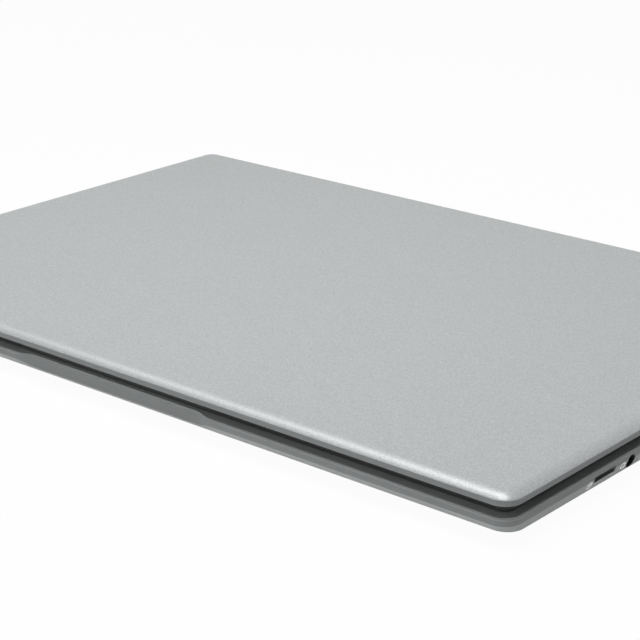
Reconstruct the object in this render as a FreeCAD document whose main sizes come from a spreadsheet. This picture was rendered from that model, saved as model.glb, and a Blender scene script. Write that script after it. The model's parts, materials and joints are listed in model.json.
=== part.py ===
import FreeCAD, Part
import math
import os
import re
import Sketcher

# A thin 14-inch class laptop computer, modelled closed.
# Millimetres, +Z up, +X to the right, -Y is the front edge that faces the person.
# The origin is on the table, under the middle of the closed laptop.

SIZES = {
    # outline
    "body_width": 330.0,
    "body_depth": 225.7,
    "corner_radius": 6.2,
    # heights, from the table up
    "rear_foot_height": 1.2,
    "wedge_rise": 1.3,
    "bevel_height": 3.1,
    "band_height": 2.05,
    "deck_thickness": 1.4,
    "deck_gap": 0.5,
    "bezel_drop": 2.5,
    "lid_side_height": 1.9,
    # lid shell
    "crown_radius": 7.4,
    "crown_width": 4.7,
    "lid_sheet": 1.2,
    "lid_wall": 1.6,
    # base shell
    "bevel_front": 3.05,
    "bevel_side": 1.2,
    "floor_thickness": 0.9,
    "case_wall": 2.0,
    "inner_corner": 5.0,
    "slope_width": 2.7,
    "slope_drop": 0.845,
    "edge_width": 0.42,
    "edge_drop": 0.5,
    "scoop_length": 77.5,
    "scoop_blend": 8.5,
    "scoop_depth": 2.0,
    # hinge
    "hinge_inset": 4.35,
    "hinge_drop": 1.2,
    "barrel_radius": 2.6,
    "barrel_clearance": 0.3,
    "knuckle_radius": 2.5,
    "knuckle_length": 10.0,
    "knuckle_gap": 0.3,
    "hinge_side_inset": 51.0,
    "pin_radius": 1.25,
    "pin_clearance": 0.05,
    "pin_head_radius": 2.1,
    "pin_head_length": 0.9,
    "bracket_plate": 1.0,
    "bracket_length": 14.0,
    "bracket_spread": 14.0,
    "arm_reach": 11.0,
    "arm_root": 6.0,
    "arm_height": 1.1,
    "arm_stop": 1.5,
    "notch_clearance": 0.6,
    "cover_end_gap": 1.7,
    "cover_end_inset": 5.5,
    "cable_bay": 9.0,
    # fasteners
    "screw_radius": 0.9,
    "screw_hole_clearance": 0.1,
    "screw_head_radius": 1.7,
    "screw_head_height": 0.6,
    "screw_head_recess": 0.1,
    "screw_bite": 2.5,
    "boss_radius": 2.4,
    "boss_clearance": 0.15,
    "screw_inset": 8.0,
    "front_screw_inset": 8.6,
    "front_screw_spread": 80.0,
    "rear_screw_inset": 8.6,
    "bracket_bite": 0.9,
    "lid_bite": 0.7,
    # screen side of the lid
    "bezel_inset": 2.7,
    "bezel_plate": 0.8,
    "bezel_skirt": 1.2,
    "bezel_top": 12.0,
    "bezel_side": 6.3,
    "bezel_chin": 28.45,
    "panel_border": 4.0,
    "panel_top_border": 3.5,
    "panel_chin": 10.0,
    "panel_thickness": 1.0,
    "backlight_thickness": 1.9,
    "backlight_inset": 1.0,
    "camera_inset": 4.9,
    "camera_length": 60.0,
    "camera_depth": 6.0,
    "camera_height": 2.0,
    "camera_window_radius": 2.0,
    "camera_window_clearance": 0.1,
    "camera_window_recess": 0.1,
    "antenna_length": 70.0,
    "antenna_depth": 5.0,
    "antenna_thickness": 0.6,
    "antenna_inset": 30.0,
    "bumper_radius": 3.0,
    "bumper_clearance": 0.05,
    "bumper_side_inset": 12.0,
    "bumper_front_inset": 9.0,
    "bumper_rear_inset": 16.0,
    # keyboard
    "keyboard_side_margin": 22.5,
    "row_pitch": 18.5,
    "function_pitch": 11.5,
    "key_gap": 3.2,
    "half_key_gap": 0.8,
    "key_clearance": 0.4,
    "key_corner": 1.3,
    "key_height": 1.6,
    "key_proud": 0.2,
    "key_travel": 1.2,
    "key_wall": 1.5,
    "key_hollow": 0.9,
    "press_clearance": 0.15,
    "dome_sheet": 0.25,
    "dome_radius": 1.2,
    "dome_foot_radius": 1.7,
    "dome_height": 0.9,
    "keyboard_margin": 20.6,
    "keyboard_plate": 0.8,
    "plate_border": 2.0,
    "plate_rim": 0.9,
    "sheet_clearance": 0.3,
    # touchpad
    "touchpad_width": 112.0,
    "touchpad_gap": 11.0,
    "touchpad_front_margin": 12.85,
    "touchpad_thickness": 1.0,
    "touchpad_recess": 0.05,
    "touchpad_clearance": 0.4,
    "touchpad_frame_border": 3.0,
    "touchpad_frame_drop": 1.05,
    "touchpad_frame_plate": 0.6,
    "switch_radius": 3.0,
    "switch_height": 0.2,
    "switch_inset": 8.0,
    # boards and modules
    "board_height": 3.4,
    "board_thickness": 0.8,
    "board_side_inset": 15.0,
    "board_right_inset": 73.0,
    "board_rear_margin": 7.6,
    "board_depth": 93.0,
    "standoff_radius": 3.0,
    "standoff_inset": 10.0,
    "chip_height": 0.6,
    "processor_size": 36.0,
    "memory_size": 11.0,
    "memory_pitch": 16.0,
    "radio_size": 18.0,
    "spreader_length": 110.0,
    "spreader_depth": 60.0,
    "spreader_thickness": 0.2,
    "storage_length": 42.0,
    "storage_width": 22.0,
    "storage_thickness": 1.6,
        "storage_rear_inset": 36.0,
    "side_bay": 39.0,
    "bay_gap": 2.0,
    "battery_clearance": 0.3,
    "battery_under_pad_gap": 0.3,
    "speaker_length": 45.0,
    "speaker_depth": 16.0,
    "speaker_side_inset": 14.0,
    "speaker_height": 3.2,
    "grille_slots": 8,
    "grille_slot_width": 0.9,
    "grille_slot_length": 10.0,
    "grille_pitch": 5.0,
    # ports
    "wall_gap": 0.3,
    "side_board_height": 3.85,
    "side_board_thickness": 0.6,
    "side_board_width": 30.0,
    "side_board_start": 35.0,
    "slot_centre": 51.85,
    "slot_length": 12.2,
    "slot_height": 1.5,
    "slot_rise": 5.35,
    "reader_length": 14.6,
    "reader_depth": 15.0,
    "reader_top": 6.6,
    "jack_centre": 66.85,
    "jack_rise": 4.7,
    "jack_radius": 1.8,
    "jack_length": 12.5,
    "jack_bore_depth": 11.0,
    "jack_body_width": 6.0,
    "jack_wall": 0.25,
    "jack_pocket_clearance": 0.1,
        "socket_rise": 5.2,
    "socket_wall": 0.35,
    "socket_tongue": 0.7,
    "socket_mouth_depth": 6.5,
    "socket_hole_clearance": 0.25,
    "usb_width": 9.0,
    "usb_height": 3.2,
    "usb_front_place": 63.0,
    "usb_rear_place": 45.0,
    "video_width": 11.4,
    "video_height": 3.2,
    "video_place": 85.0,
    # ribbons and screen cable
    "ribbon_thickness": 0.2,
    "ribbon_width": 16.0,
    "ribbon_lap": 7.0,
    "keyboard_ribbon_inset": 6.0,
    "keyboard_ribbon_length": 12.0,
    "cable_radius": 0.9,
    "cable_clearance": 0.3,
    "cable_width": 5.0,
    "cable_thickness": 0.4,
    "cable_run": 8.0,
    "cable_drop": 2.2,
    "cable_depth_in_barrel": 45.0,
    "cable_tail_width": 8.0,
    # feet
    "foot_radius": 6.0,
    "foot_taper": 0.6,
    "foot_recess": 0.3,
    "foot_clearance": 0.15,
    "foot_side_inset": 30.0,
    "front_foot_inset": 26.0,
    "rear_foot_inset": 18.0,
}

# Levels and places that follow from the sizes, in plain formulas.
PLACES = {
    "front": "-body_depth/2",
    "bottom_front": "rear_foot_height + wedge_rise",
    "band_foot": "bottom_front + bevel_height",
    "parting": "band_foot + band_height",
    "deck_top": "parting + deck_thickness",
    "bezel_foot": "deck_top + deck_gap",
    "panel_foot": "bezel_foot + bezel_plate",
    "panel_top": "panel_foot + panel_thickness",
    "backlight_top": "panel_top + backlight_thickness",
    "rim": "bezel_foot + bezel_drop",
    "lid_shoulder": "rim + lid_side_height",
    "lid_top": "lid_shoulder + crown_radius - sqrt(crown_radius^2 - crown_width^2)",
    "lid_inside": "lid_top - lid_sheet",
    "crown_spread": "crown_radius - crown_width",
    "hinge_y": "body_depth/2 - hinge_inset",
    "hinge_z": "rim - hinge_drop",
    "base_rear": "hinge_y - barrel_radius - barrel_clearance",
    "inner_front": "front + scoop_depth + case_wall",
    "inner_rear": "base_rear - case_wall",
    "inner_side": "body_width/2 - case_wall",
    "bevel_ratio": "(bevel_height + wedge_rise)/bevel_height",
    "bezel_rear": "hinge_y - barrel_radius",
    "screen_front": "front + bezel_inset + bezel_top",
    "screen_rear": "bezel_rear - bezel_chin",
    "screen_side": "body_width/2 - bezel_inset - bezel_side",
    "panel_side": "screen_side + panel_border",
    "panel_front": "screen_front - panel_top_border",
    "panel_rear": "screen_rear + panel_chin",
    "camera_y": "front + bezel_inset + camera_inset",
    "keyboard_side": "body_width/2 - keyboard_side_margin",
    "key_pitch": "keyboard_side/7.5",
    "keyboard_rear": "base_rear - keyboard_margin",
    "keyboard_front": "keyboard_rear - function_pitch - 5*row_pitch",
    "cap_top": "deck_top + key_proud",
    "cap_foot": "cap_top - key_height",
    "dome_base": "cap_foot - key_travel - press_clearance",
    "plate_top": "dome_base - dome_sheet",
    "plate_foot": "plate_top - keyboard_plate",
    "touchpad_rear": "keyboard_front - touchpad_gap",
    "touchpad_front": "front + touchpad_front_margin",
    "touchpad_top": "deck_top - touchpad_recess",
    "touchpad_foot": "touchpad_top - touchpad_thickness",
    "frame_side": "touchpad_width/2 + touchpad_frame_border",
    "frame_front": "touchpad_front - touchpad_frame_border",
    "frame_rear": "touchpad_rear + touchpad_frame_border",
    "frame_foot": "parting - touchpad_frame_drop",
    "frame_floor": "frame_foot + touchpad_frame_plate",
    "board_top": "board_height + board_thickness",
    "board_left": "-body_width/2 + board_side_inset",
    "board_right": "body_width/2 - board_right_inset",
    "board_rear": "base_rear - board_rear_margin",
    "board_front": "board_rear - board_depth",
    "chip_top": "board_top + chip_height",
    "side_board_top": "side_board_height + side_board_thickness",
    "side_board_front": "front + side_board_start",
    "side_board_rear": "jack_y - jack_body_width/2 - bay_gap/2",
    "slot_y": "front + slot_centre",
    "jack_y": "front + jack_centre",
    "port_face": "body_width/2 - case_wall - wall_gap",
    "battery_front": "inner_front + speaker_depth + bay_gap",
    "knuckle_start": "body_width/2 - hinge_side_inset",
    "cover_half": "knuckle_start - cable_bay",
    "leaf_start": "knuckle_start + knuckle_length + knuckle_gap",
    "leaf_end": "leaf_start + knuckle_length",
}

DOCUMENT = FreeCAD.newDocument("laptop")
SHEET = DOCUMENT.addObject("Spreadsheet::Sheet", "Size")
for row, (alias, size) in enumerate(SIZES.items(), start=1):
    SHEET.set(f"A{row}", str(size))
    SHEET.setAlias(f"A{row}", alias)
DOCUMENT.recompute()

PARTS = []
ALONG_X = FreeCAD.Vector(1, 0, 0)
DOWN_X = FreeCAD.Rotation(FreeCAD.Vector(0, 1, 0), 90)
BOTH_SIDES = ((-1, "left"), (1, "right"))


def formula(text):
    """Spell a plain formula out in the names of the sheet's cells."""
    def spell(match):
        word = match.group(0)
        if word in PLACES:
            return "(" + formula(PLACES[word]) + ")"
        if word in SIZES:
            return "Size." + word
        return word
    return re.sub(r"[a-z_]{2,}", spell, str(text))


def number(text):
    """What a formula comes to now, in millimetres."""
    found = SHEET.evalExpression(formula(text))
    return float(getattr(found, "Value", found))


def bind(item, name, text):
    item.setExpression(name, formula(text))


def floor_under(y):
    """Height of the base's outer underside, which falls towards the rear, at a place y."""
    return f"(bottom_front - wedge_rise*(({y}) - (front))/body_depth)"


def floor_inside(y):
    return f"({floor_under(y)} + floor_thickness)"


def keep(item, label):
    """Hand an object in as the sub-part of that name."""
    item.Label = label
    PARTS.append(item)
    return item


def box(name, x, y, z):
    """A block between two places on each axis."""
    block = DOCUMENT.addObject("Part::Box", name)
    for side, axis, (low, high) in zip(("Length", "Width", "Height"), "xyz", (x, y, z)):
        bind(block, side, f"({high}) - ({low})")
        bind(block, "Placement.Base." + axis, low)
    return block


def rod(name, centre, radius, length, along_x=False):
    """A round bar that stands on its centre, or lies from it along +X."""
    bar = DOCUMENT.addObject("Part::Cylinder", name)
    if along_x:
        bar.Placement = FreeCAD.Placement(FreeCAD.Vector(), DOWN_X)
    bind(bar, "Radius", radius)
    bind(bar, "Height", length)
    for axis, place in zip("xyz", centre):
        bind(bar, "Placement.Base." + axis, place)
    return bar


def cone(name, centre, low_radius, high_radius, height):
    taper = DOCUMENT.addObject("Part::Cone", name)
    bind(taper, "Radius1", low_radius)
    bind(taper, "Radius2", high_radius)
    bind(taper, "Height", height)
    for axis, place in zip("xyz", centre):
        bind(taper, "Placement.Base." + axis, place)
    return taper


def join(name, pieces):
    whole = DOCUMENT.addObject("Part::MultiFuse", name)
    whole.Shapes = pieces
    return whole


def group(name, pieces):
    several = DOCUMENT.addObject("Part::Compound", name)
    several.Links = pieces
    return several


def cut(name, base, tools):
    rest = DOCUMENT.addObject("Part::Cut", name)
    rest.Base = base
    rest.Tool = tools[0] if len(tools) == 1 else group(name + "_tools", tools)
    return rest


def mirrored_pair(low, high, side):
    """The same stretch of X on the left or the right side."""
    if side > 0:
        return (low, high)
    return (f"-({high})", f"-({low})")


def stadium_x(name, y, z, width, height, x):
    """A bar along X with a rounded-end section, as a port or a card slot has."""
    half = f"(({width}) - ({height}))/2"
    ends = [
        rod(f"{name}_end_{place}", (x[0], f"({y}) {sign} ({half})", z), f"({height})/2",
            f"({x[1]}) - ({x[0]})", along_x=True)
        for place, sign in (("front", "-"), ("rear", "+"))
    ]
    middle = box(name + "_middle", x, (f"({y}) - ({half})", f"({y}) + ({half})"),
                 (f"({z}) - ({height})/2", f"({z}) + ({height})/2"))
    return join(name, ends + [middle])


# Bodies that are sketched


def new_body(name):
    return DOCUMENT.addObject("PartDesign::Body", name)


def new_sketch(body, name, plane="XY_Plane", height="0"):
    """A sketch on one of the body's own planes, raised along that plane's normal."""
    sketch = body.newObject("Sketcher::SketchObject", name)
    support = [item for item in body.Origin.OriginFeatures if item.Role == plane][0]
    sketch.AttachmentSupport = (support, [""])
    sketch.MapMode = "FlatFace"
    bind(sketch, "AttachmentOffset.Base.z", height)
    return sketch


def hold(sketch, constraint, text):
    """Add a dimension to a sketch and tie it to the sheet."""
    place = sketch.addConstraint(constraint)
    bind(sketch, f"Constraints[{place}]", text)


def at(sketch, kind, line, point, text):
    """Place one end of a line from the sketch's origin."""
    hold(sketch, Sketcher.Constraint(kind, -1, 1, line, point, number(text)), text)


def point_2d(x, y):
    return FreeCAD.Vector(x, y, 0)


def corner_arc(x, y, radius, start):
    """A quarter circle that starts at the given number of quarter turns."""
    circle = Part.Circle(point_2d(x, y), FreeCAD.Vector(0, 0, 1), radius)
    return Part.ArcOfCircle(circle, start*math.pi/2, (start + 1)*math.pi/2)


def rounded_rectangle(sketch, x, y, radius):
    """Four sides and four equal corners, with every side tied to the sheet."""
    left, right = number(x[0]), number(x[1])
    low, high = number(y[0]), number(y[1])
    turn = number(radius)
    shapes = [
        Part.LineSegment(point_2d(left + turn, low), point_2d(right - turn, low)),
        corner_arc(right - turn, low + turn, turn, -1),
        Part.LineSegment(point_2d(right, low + turn), point_2d(right, high - turn)),
        corner_arc(right - turn, high - turn, turn, 0),
        Part.LineSegment(point_2d(right - turn, high), point_2d(left + turn, high)),
        corner_arc(left + turn, high - turn, turn, 1),
        Part.LineSegment(point_2d(left, high - turn), point_2d(left, low + turn)),
        corner_arc(left + turn, low + turn, turn, 2),
    ]
    ids = [sketch.addGeometry(shape) for shape in shapes]
    for place in range(8):
        sketch.addConstraint(Sketcher.Constraint("Tangent", ids[place], 2, ids[(place + 1) % 8], 1))
    for place, kind in ((0, "Horizontal"), (2, "Vertical"), (4, "Horizontal"), (6, "Vertical")):
        sketch.addConstraint(Sketcher.Constraint(kind, ids[place]))
    for place in (3, 5, 7):
        sketch.addConstraint(Sketcher.Constraint("Equal", ids[1], ids[place]))
    hold(sketch, Sketcher.Constraint("Radius", ids[1], turn), radius)
    at(sketch, "DistanceY", ids[0], 1, y[0])
    at(sketch, "DistanceX", ids[2], 1, x[1])
    at(sketch, "DistanceY", ids[4], 1, y[1])
    at(sketch, "DistanceX", ids[6], 1, x[0])


def polygon(sketch, corners):
    """A closed outline of straight sides whose corners are pairs of formulas."""
    spots = [point_2d(number(x), number(y)) for x, y in corners]
    ids = [sketch.addGeometry(Part.LineSegment(spot, spots[(place + 1) % len(spots)]))
           for place, spot in enumerate(spots)]
    for place, line in enumerate(ids):
        following = ids[(place + 1) % len(ids)]
        sketch.addConstraint(Sketcher.Constraint("Coincident", line, 2, following, 1))
    for line, (x, y) in zip(ids, corners):
        at(sketch, "DistanceX", line, 1, x)
        at(sketch, "DistanceY", line, 1, y)


def scoop_outline(sketch):
    """The finger scoop in plan: a straight middle with an S-curve at each end."""
    half, reach = number("scoop_length/2"), number("scoop_length/2 + scoop_blend")
    front, depth, blend = number("front"), number("scoop_depth"), number("scoop_blend")
    outside = "front - scoop_depth"
    low = number(outside)
    turn = (blend**2 + depth**2)/(4*depth)
    swing = 2*math.atan2(depth, blend)
    quarter = math.pi/2

    def arc(x, y, start, end):
        circle = Part.Circle(point_2d(x, y), FreeCAD.Vector(0, 0, 1), turn)
        return Part.ArcOfCircle(circle, start, end)

    shapes = [
        arc(-reach, front + turn, -quarter, -quarter + swing),
        arc(-half, front + depth - turn, quarter, quarter + swing),
        Part.LineSegment(point_2d(-half, front + depth), point_2d(half, front + depth)),
        arc(half, front + depth - turn, quarter - swing, quarter),
        arc(reach, front + turn, -quarter - swing, -quarter),
        Part.LineSegment(point_2d(reach, front), point_2d(reach, low)),
        Part.LineSegment(point_2d(reach, low), point_2d(-reach, low)),
        Part.LineSegment(point_2d(-reach, low), point_2d(-reach, front)),
    ]
    first, second, flat, third, fourth, right, bottom, left = [
        sketch.addGeometry(shape) for shape in shapes]
    start, end, centre = 1, 2, 3
    join_ends = ((first, end, second, end), (second, start, flat, start),
                 (flat, end, third, end), (third, start, fourth, start))
    for one, one_end, other, other_end in join_ends:
        sketch.addConstraint(Sketcher.Constraint("Tangent", one, one_end, other, other_end))
    loose_ends = ((fourth, end, right, start), (right, end, bottom, start),
                  (bottom, end, left, start), (left, end, first, start))
    for one, one_end, other, other_end in loose_ends:
        sketch.addConstraint(Sketcher.Constraint("Coincident", one, one_end, other, other_end))
    for line in (flat, bottom):
        sketch.addConstraint(Sketcher.Constraint("Horizontal", line))
    for line in (left, right):
        sketch.addConstraint(Sketcher.Constraint("Vertical", line))
    sketch.addConstraint(Sketcher.Constraint("Vertical", first, start, first, centre))
    sketch.addConstraint(Sketcher.Constraint("Vertical", fourth, end, fourth, centre))
    for arc_id in (second, third, fourth):
        sketch.addConstraint(Sketcher.Constraint("Equal", first, arc_id))
    at(sketch, "DistanceX", flat, start, "-scoop_length/2")
    at(sketch, "DistanceX", flat, end, "scoop_length/2")
    at(sketch, "DistanceY", flat, start, "front + scoop_depth")
    at(sketch, "DistanceY", right, start, "front")
    at(sketch, "DistanceY", left, end, "front")
    at(sketch, "DistanceX", left, end, "-scoop_length/2 - scoop_blend")
    at(sketch, "DistanceY", bottom, start, outside)


def pad(body, sketch, length):
    feature = body.newObject("PartDesign::Pad", sketch.Name + "_pad")
    feature.Profile = sketch
    bind(feature, "Length", length)
    return feature


def pocket(body, sketch, length=None, upward=False, both_ways=False):
    """Cut a sketch away: down or up by a length, or all the way where none is given."""
    before = body.Tip.Shape.Volume
    feature = body.newObject("PartDesign::Pocket", sketch.Name + "_pocket")
    feature.Profile = sketch
    feature.Reversed = upward
    if both_ways:
        feature.Midplane = True
    if length is None:
        feature.Type = "ThroughAll"
    else:
        bind(feature, "Length", length)
    DOCUMENT.recompute()
    if feature.Shape.Volume >= before:
        raise RuntimeError(feature.Name + " cuts nothing")
    return feature


def edge_names(shape, wanted):
    return [f"Edge{place}" for place, edge in enumerate(shape.Edges, start=1) if wanted(edge)]


def at_height(edge, z):
    return abs(edge.BoundBox.ZMin - z) < 1e-4 and abs(edge.BoundBox.ZMax - z) < 1e-4


def base_outline(sketch, inset_side="0", inset_front="0"):
    rounded_rectangle(sketch, (f"-body_width/2 + {inset_side}", f"body_width/2 - {inset_side}"),
                      (f"front + {inset_front}", "base_rear"), "corner_radius")


def cut_scoop(body, name, height):
    sketch = new_sketch(body, name, height=height)
    scoop_outline(sketch)
    return pocket(body, sketch)


# Lid shell


def make_lid_cover():
    """A plate larger than the lid gets a round edge, then is cut to the lid's outline, so a crease stays."""
    body = new_body("lid_body")
    wide = new_sketch(body, "crown_plan", height="lid_top - crown_radius - lid_sheet")
    rounded_rectangle(wide, ("-body_width/2 - crown_spread", "body_width/2 + crown_spread"),
                      ("front - crown_spread", "body_depth/2 + crown_spread"),
                      "corner_radius + crown_spread")
    blank = pad(body, wide, "crown_radius + lid_sheet")
    DOCUMENT.recompute()
    crown = body.newObject("PartDesign::Fillet", "crown")
    top = number("lid_top")
    crown.Base = (blank, edge_names(blank.Shape, lambda edge: at_height(edge, top)))
    bind(crown, "Radius", "crown_radius")
    DOCUMENT.recompute()
    ring = new_sketch(body, "lid_outline", height="lid_top")
    rounded_rectangle(ring, ("-body_width/2", "body_width/2"), ("front", "body_depth/2"), "corner_radius")
    margin = "2*crown_radius"
    polygon(ring, [(f"-body_width/2 - {margin}", f"front - {margin}"),
                   (f"body_width/2 + {margin}", f"front - {margin}"),
                   (f"body_width/2 + {margin}", f"body_depth/2 + {margin}"),
                   (f"-body_width/2 - {margin}", f"body_depth/2 + {margin}")])
    pocket(body, ring)
    below = new_sketch(body, "lid_rim", height="rim")
    rounded_rectangle(below, ("-body_width/2 - crown_spread", "body_width/2 + crown_spread"),
                      ("front - crown_spread", "body_depth/2 + crown_spread"), "corner_radius")
    pocket(body, below)
    hollow = new_sketch(body, "lid_hollow", height="rim")
    rounded_rectangle(hollow, ("-body_width/2 + lid_wall", "body_width/2 - lid_wall"),
                      ("front + lid_wall", "body_depth/2 - lid_wall"), "corner_radius - lid_wall")
    pocket(body, hollow, "lid_inside - rim", upward=True)
    holes = [rod(f"lid_screw_hole_{label}_{place}", (x, y, "lid_inside"),
                 "screw_radius + screw_hole_clearance", "lid_bite + screw_hole_clearance")
             for label, place, x, y in leaf_screw_places()]
    return keep(cut("lid_cover_drilled", body, holes), "lid_cover")


def leaf_screw_places():
    """Two screws hold each hinge leaf to the lid."""
    spread = (("inner", "leaf_start + bracket_spread"),
              ("outer", "leaf_start + bracket_spread + 3*boss_radius"))
    return [(label, place, f"{side}*({x})", "hinge_y - bracket_length/2 - boss_radius")
            for side, label in BOTH_SIDES for place, x in spread]


def make_display_bezel():
    body = new_body("bezel_body")
    plan = new_sketch(body, "bezel_plan", height="bezel_foot")
    rounded_rectangle(plan, ("-body_width/2 + bezel_inset", "body_width/2 - bezel_inset"),
                      ("front + bezel_inset", "bezel_rear"), "corner_radius - bezel_inset")
    pad(body, plan, "lid_inside - bezel_foot")
    DOCUMENT.recompute()
    inside = "body_width/2 - bezel_inset - bezel_skirt"
    hollow = new_sketch(body, "bezel_hollow", height="panel_foot")
    polygon(hollow, [(f"-({inside})", "front + bezel_inset + bezel_skirt"),
                     (inside, "front + bezel_inset + bezel_skirt"),
                     (inside, "body_depth/2"), (f"-({inside})", "body_depth/2")])
    pocket(body, hollow, upward=True)
    window = new_sketch(body, "bezel_window", height="lid_inside")
    polygon(window, [("-screen_side", "screen_front"), ("screen_side", "screen_front"),
                     ("screen_side", "screen_rear"), ("-screen_side", "screen_rear")])
    pocket(body, window)
    hole = rod("camera_hole", ("0", "camera_y", "bezel_foot"),
               "camera_window_radius + camera_window_clearance", "bezel_plate")
    keep(cut("bezel_cut", body, [hole]), "display_bezel")


def make_screen():
    keep(box("lcd_panel_block", ("-panel_side", "panel_side"), ("panel_front", "panel_rear"),
             ("panel_foot", "panel_top")), "lcd_panel")
    keep(box("backlight_block", ("-panel_side + backlight_inset", "panel_side - backlight_inset"),
             ("panel_front + backlight_inset", "panel_rear - backlight_inset"),
             ("panel_top", "backlight_top")), "backlight_unit")


def make_camera():
    keep(box("camera_block", ("-camera_length/2", "camera_length/2"),
             ("camera_y - camera_depth/2", "camera_y + camera_depth/2"),
             ("panel_foot", "panel_foot + camera_height")), "camera_module")
    keep(rod("camera_window_disc", ("0", "camera_y", "bezel_foot + camera_window_recess"),
             "camera_window_radius", "bezel_plate - camera_window_recess"), "camera_window")


def make_lid_trim():
    antennas = []
    for side, label in BOTH_SIDES:
        along = mirrored_pair("antenna_inset", "antenna_inset + antenna_length", side)
        antennas.append(box(f"antenna_{label}", along,
                            ("camera_y - antenna_depth/2", "camera_y + antenna_depth/2"),
                            ("lid_inside - antenna_thickness", "lid_inside")))
    keep(group("antenna_pair", antennas), "antennas")
    bumpers = []
    for side, label in BOTH_SIDES:
        x = f"{side}*(body_width/2 - bumper_side_inset)"
        for place, y in (("front", "front + bumper_front_inset"), ("rear", "base_rear - bumper_rear_inset")):
            bumpers.append(rod(f"bumper_{place}_{label}", (x, y, "deck_top + bumper_clearance"),
                               "bumper_radius", "deck_gap - bumper_clearance"))
    keep(group("bumper_set", bumpers), "lid_bumpers")


# Hinges


def make_hinge_cover():
    """The dark strip round the hinge line, in three stretches that leave room for the knuckles."""
    stretches = (("left", "-(body_width/2 - cover_end_inset)", "-(leaf_end + cover_end_gap)"),
                 ("middle", "-(cover_half)", "cover_half"),
                 ("right", "leaf_end + cover_end_gap", "body_width/2 - cover_end_inset"))
    pieces = []
    for place, start, end in stretches:
        barrel = rod(f"barrel_{place}", (start, "hinge_y", "hinge_z"), "barrel_radius",
                     f"({end}) - ({start})", along_x=True)
        riser = box(f"barrel_riser_{place}", (start, end),
                    ("hinge_y - barrel_radius", "hinge_y + barrel_radius"), ("hinge_z", "lid_inside"))
        pieces.append(join(f"hinge_cover_{place}", [barrel, riser]))
    tunnel = rod("cable_tunnel", ("-(cover_half)", "hinge_y", "hinge_z"), "cable_radius + cable_clearance",
                 "cable_depth_in_barrel + cable_clearance", along_x=True)
    exit_end = "-(cover_half) + cable_depth_in_barrel"
    room = "cable_thickness + cable_clearance"
    exit_slot = box("cable_exit",
                    (f"{exit_end} - cable_tail_width - cable_clearance", f"{exit_end} + cable_clearance"),
                    ("hinge_y - barrel_radius", "hinge_y"), (f"hinge_z - ({room})", f"hinge_z + {room}"))
    middle = cut("hinge_cover_bored", pieces[1], [tunnel, exit_slot])
    keep(group("hinge_cover_set", [pieces[0], middle, pieces[2]]), "hinge_cover")


def bracket_screw_places():
    """Two screws hold each base bracket up against the underside of the deck."""
    places = (("inner", "knuckle_start + 1.5*boss_radius"), ("outer", "knuckle_start + 7.5*boss_radius"))
    return [(label, place, f"{side}*({x})", "hinge_y - bracket_length - boss_radius/2")
            for side, label in BOTH_SIDES for place, x in places]


def make_hinges():
    for side, label in BOTH_SIDES:
        make_base_bracket(side, label)
        make_lid_leaf(side, label)
        make_pin(side, label)
    heads, shanks = [], []
    for label, place, x, y in bracket_screw_places():
        name = f"bracket_screw_{label}_{place}"
        head = rod(name + "_head", (x, y, "parting - bracket_plate - screw_head_height"),
                   "screw_head_radius", "screw_head_height")
        shank = rod(name + "_shank", (x, y, "parting - bracket_plate"), "screw_radius",
                    "bracket_plate + bracket_bite")
        heads.append(join(name, [head, shank]))
    keep(group("bracket_screw_set", heads), "hinge_base_screws")
    for label, place, x, y in leaf_screw_places():
        name = f"leaf_screw_{label}_{place}"
        head = rod(name + "_head", (x, y, "lid_inside - bracket_plate - screw_head_height"),
                   "screw_head_radius", "screw_head_height")
        shank = rod(name + "_shank", (x, y, "lid_inside - bracket_plate"), "screw_radius",
                    "bracket_plate + lid_bite")
        shanks.append(join(name, [head, shank]))
    keep(group("leaf_screw_set", shanks), "hinge_lid_screws")


def make_base_bracket(side, label):
    """A plate under the deck, with an arm over the rear wall to the knuckle."""
    name = f"hinge_base_{label}"
    span = mirrored_pair("knuckle_start", "knuckle_start + knuckle_length", side)
    plate_span = mirrored_pair("knuckle_start", "knuckle_start + knuckle_length + bracket_spread", side)
    plate = box(name + "_plate", plate_span,
                ("hinge_y - bracket_length - 2*boss_radius", "inner_rear - wall_gap"),
                ("parting - bracket_plate", "parting"))
    root = box(name + "_root", span, ("hinge_y - arm_reach", "hinge_y - arm_root"),
               ("parting - bracket_plate", "deck_top"))
    arm = box(name + "_arm", span, ("hinge_y - arm_reach", "hinge_y - arm_stop"),
              ("deck_top - arm_height", "deck_top"))
    neck = box(name + "_neck", span, ("hinge_y - knuckle_radius", "hinge_y - arm_stop"),
               ("deck_top - arm_height", "hinge_z"))
    knuckle = rod(name + "_knuckle", (span[0], "hinge_y", "hinge_z"), "knuckle_radius",
                  "knuckle_length", along_x=True)
    blank = join(name + "_blank", [plate, root, arm, neck, knuckle])
    bore = rod(name + "_bore", (span[0], "hinge_y", "hinge_z"), "pin_radius + pin_clearance",
               "knuckle_length", along_x=True)
    holes = [rod(f"{name}_hole_{place}", (x, y, "parting - bracket_plate"),
                 "screw_radius + screw_hole_clearance", "bracket_plate")
             for owner, place, x, y in bracket_screw_places() if owner == label]
    keep(cut(name + "_cut", blank, [bore] + holes), name)


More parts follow.
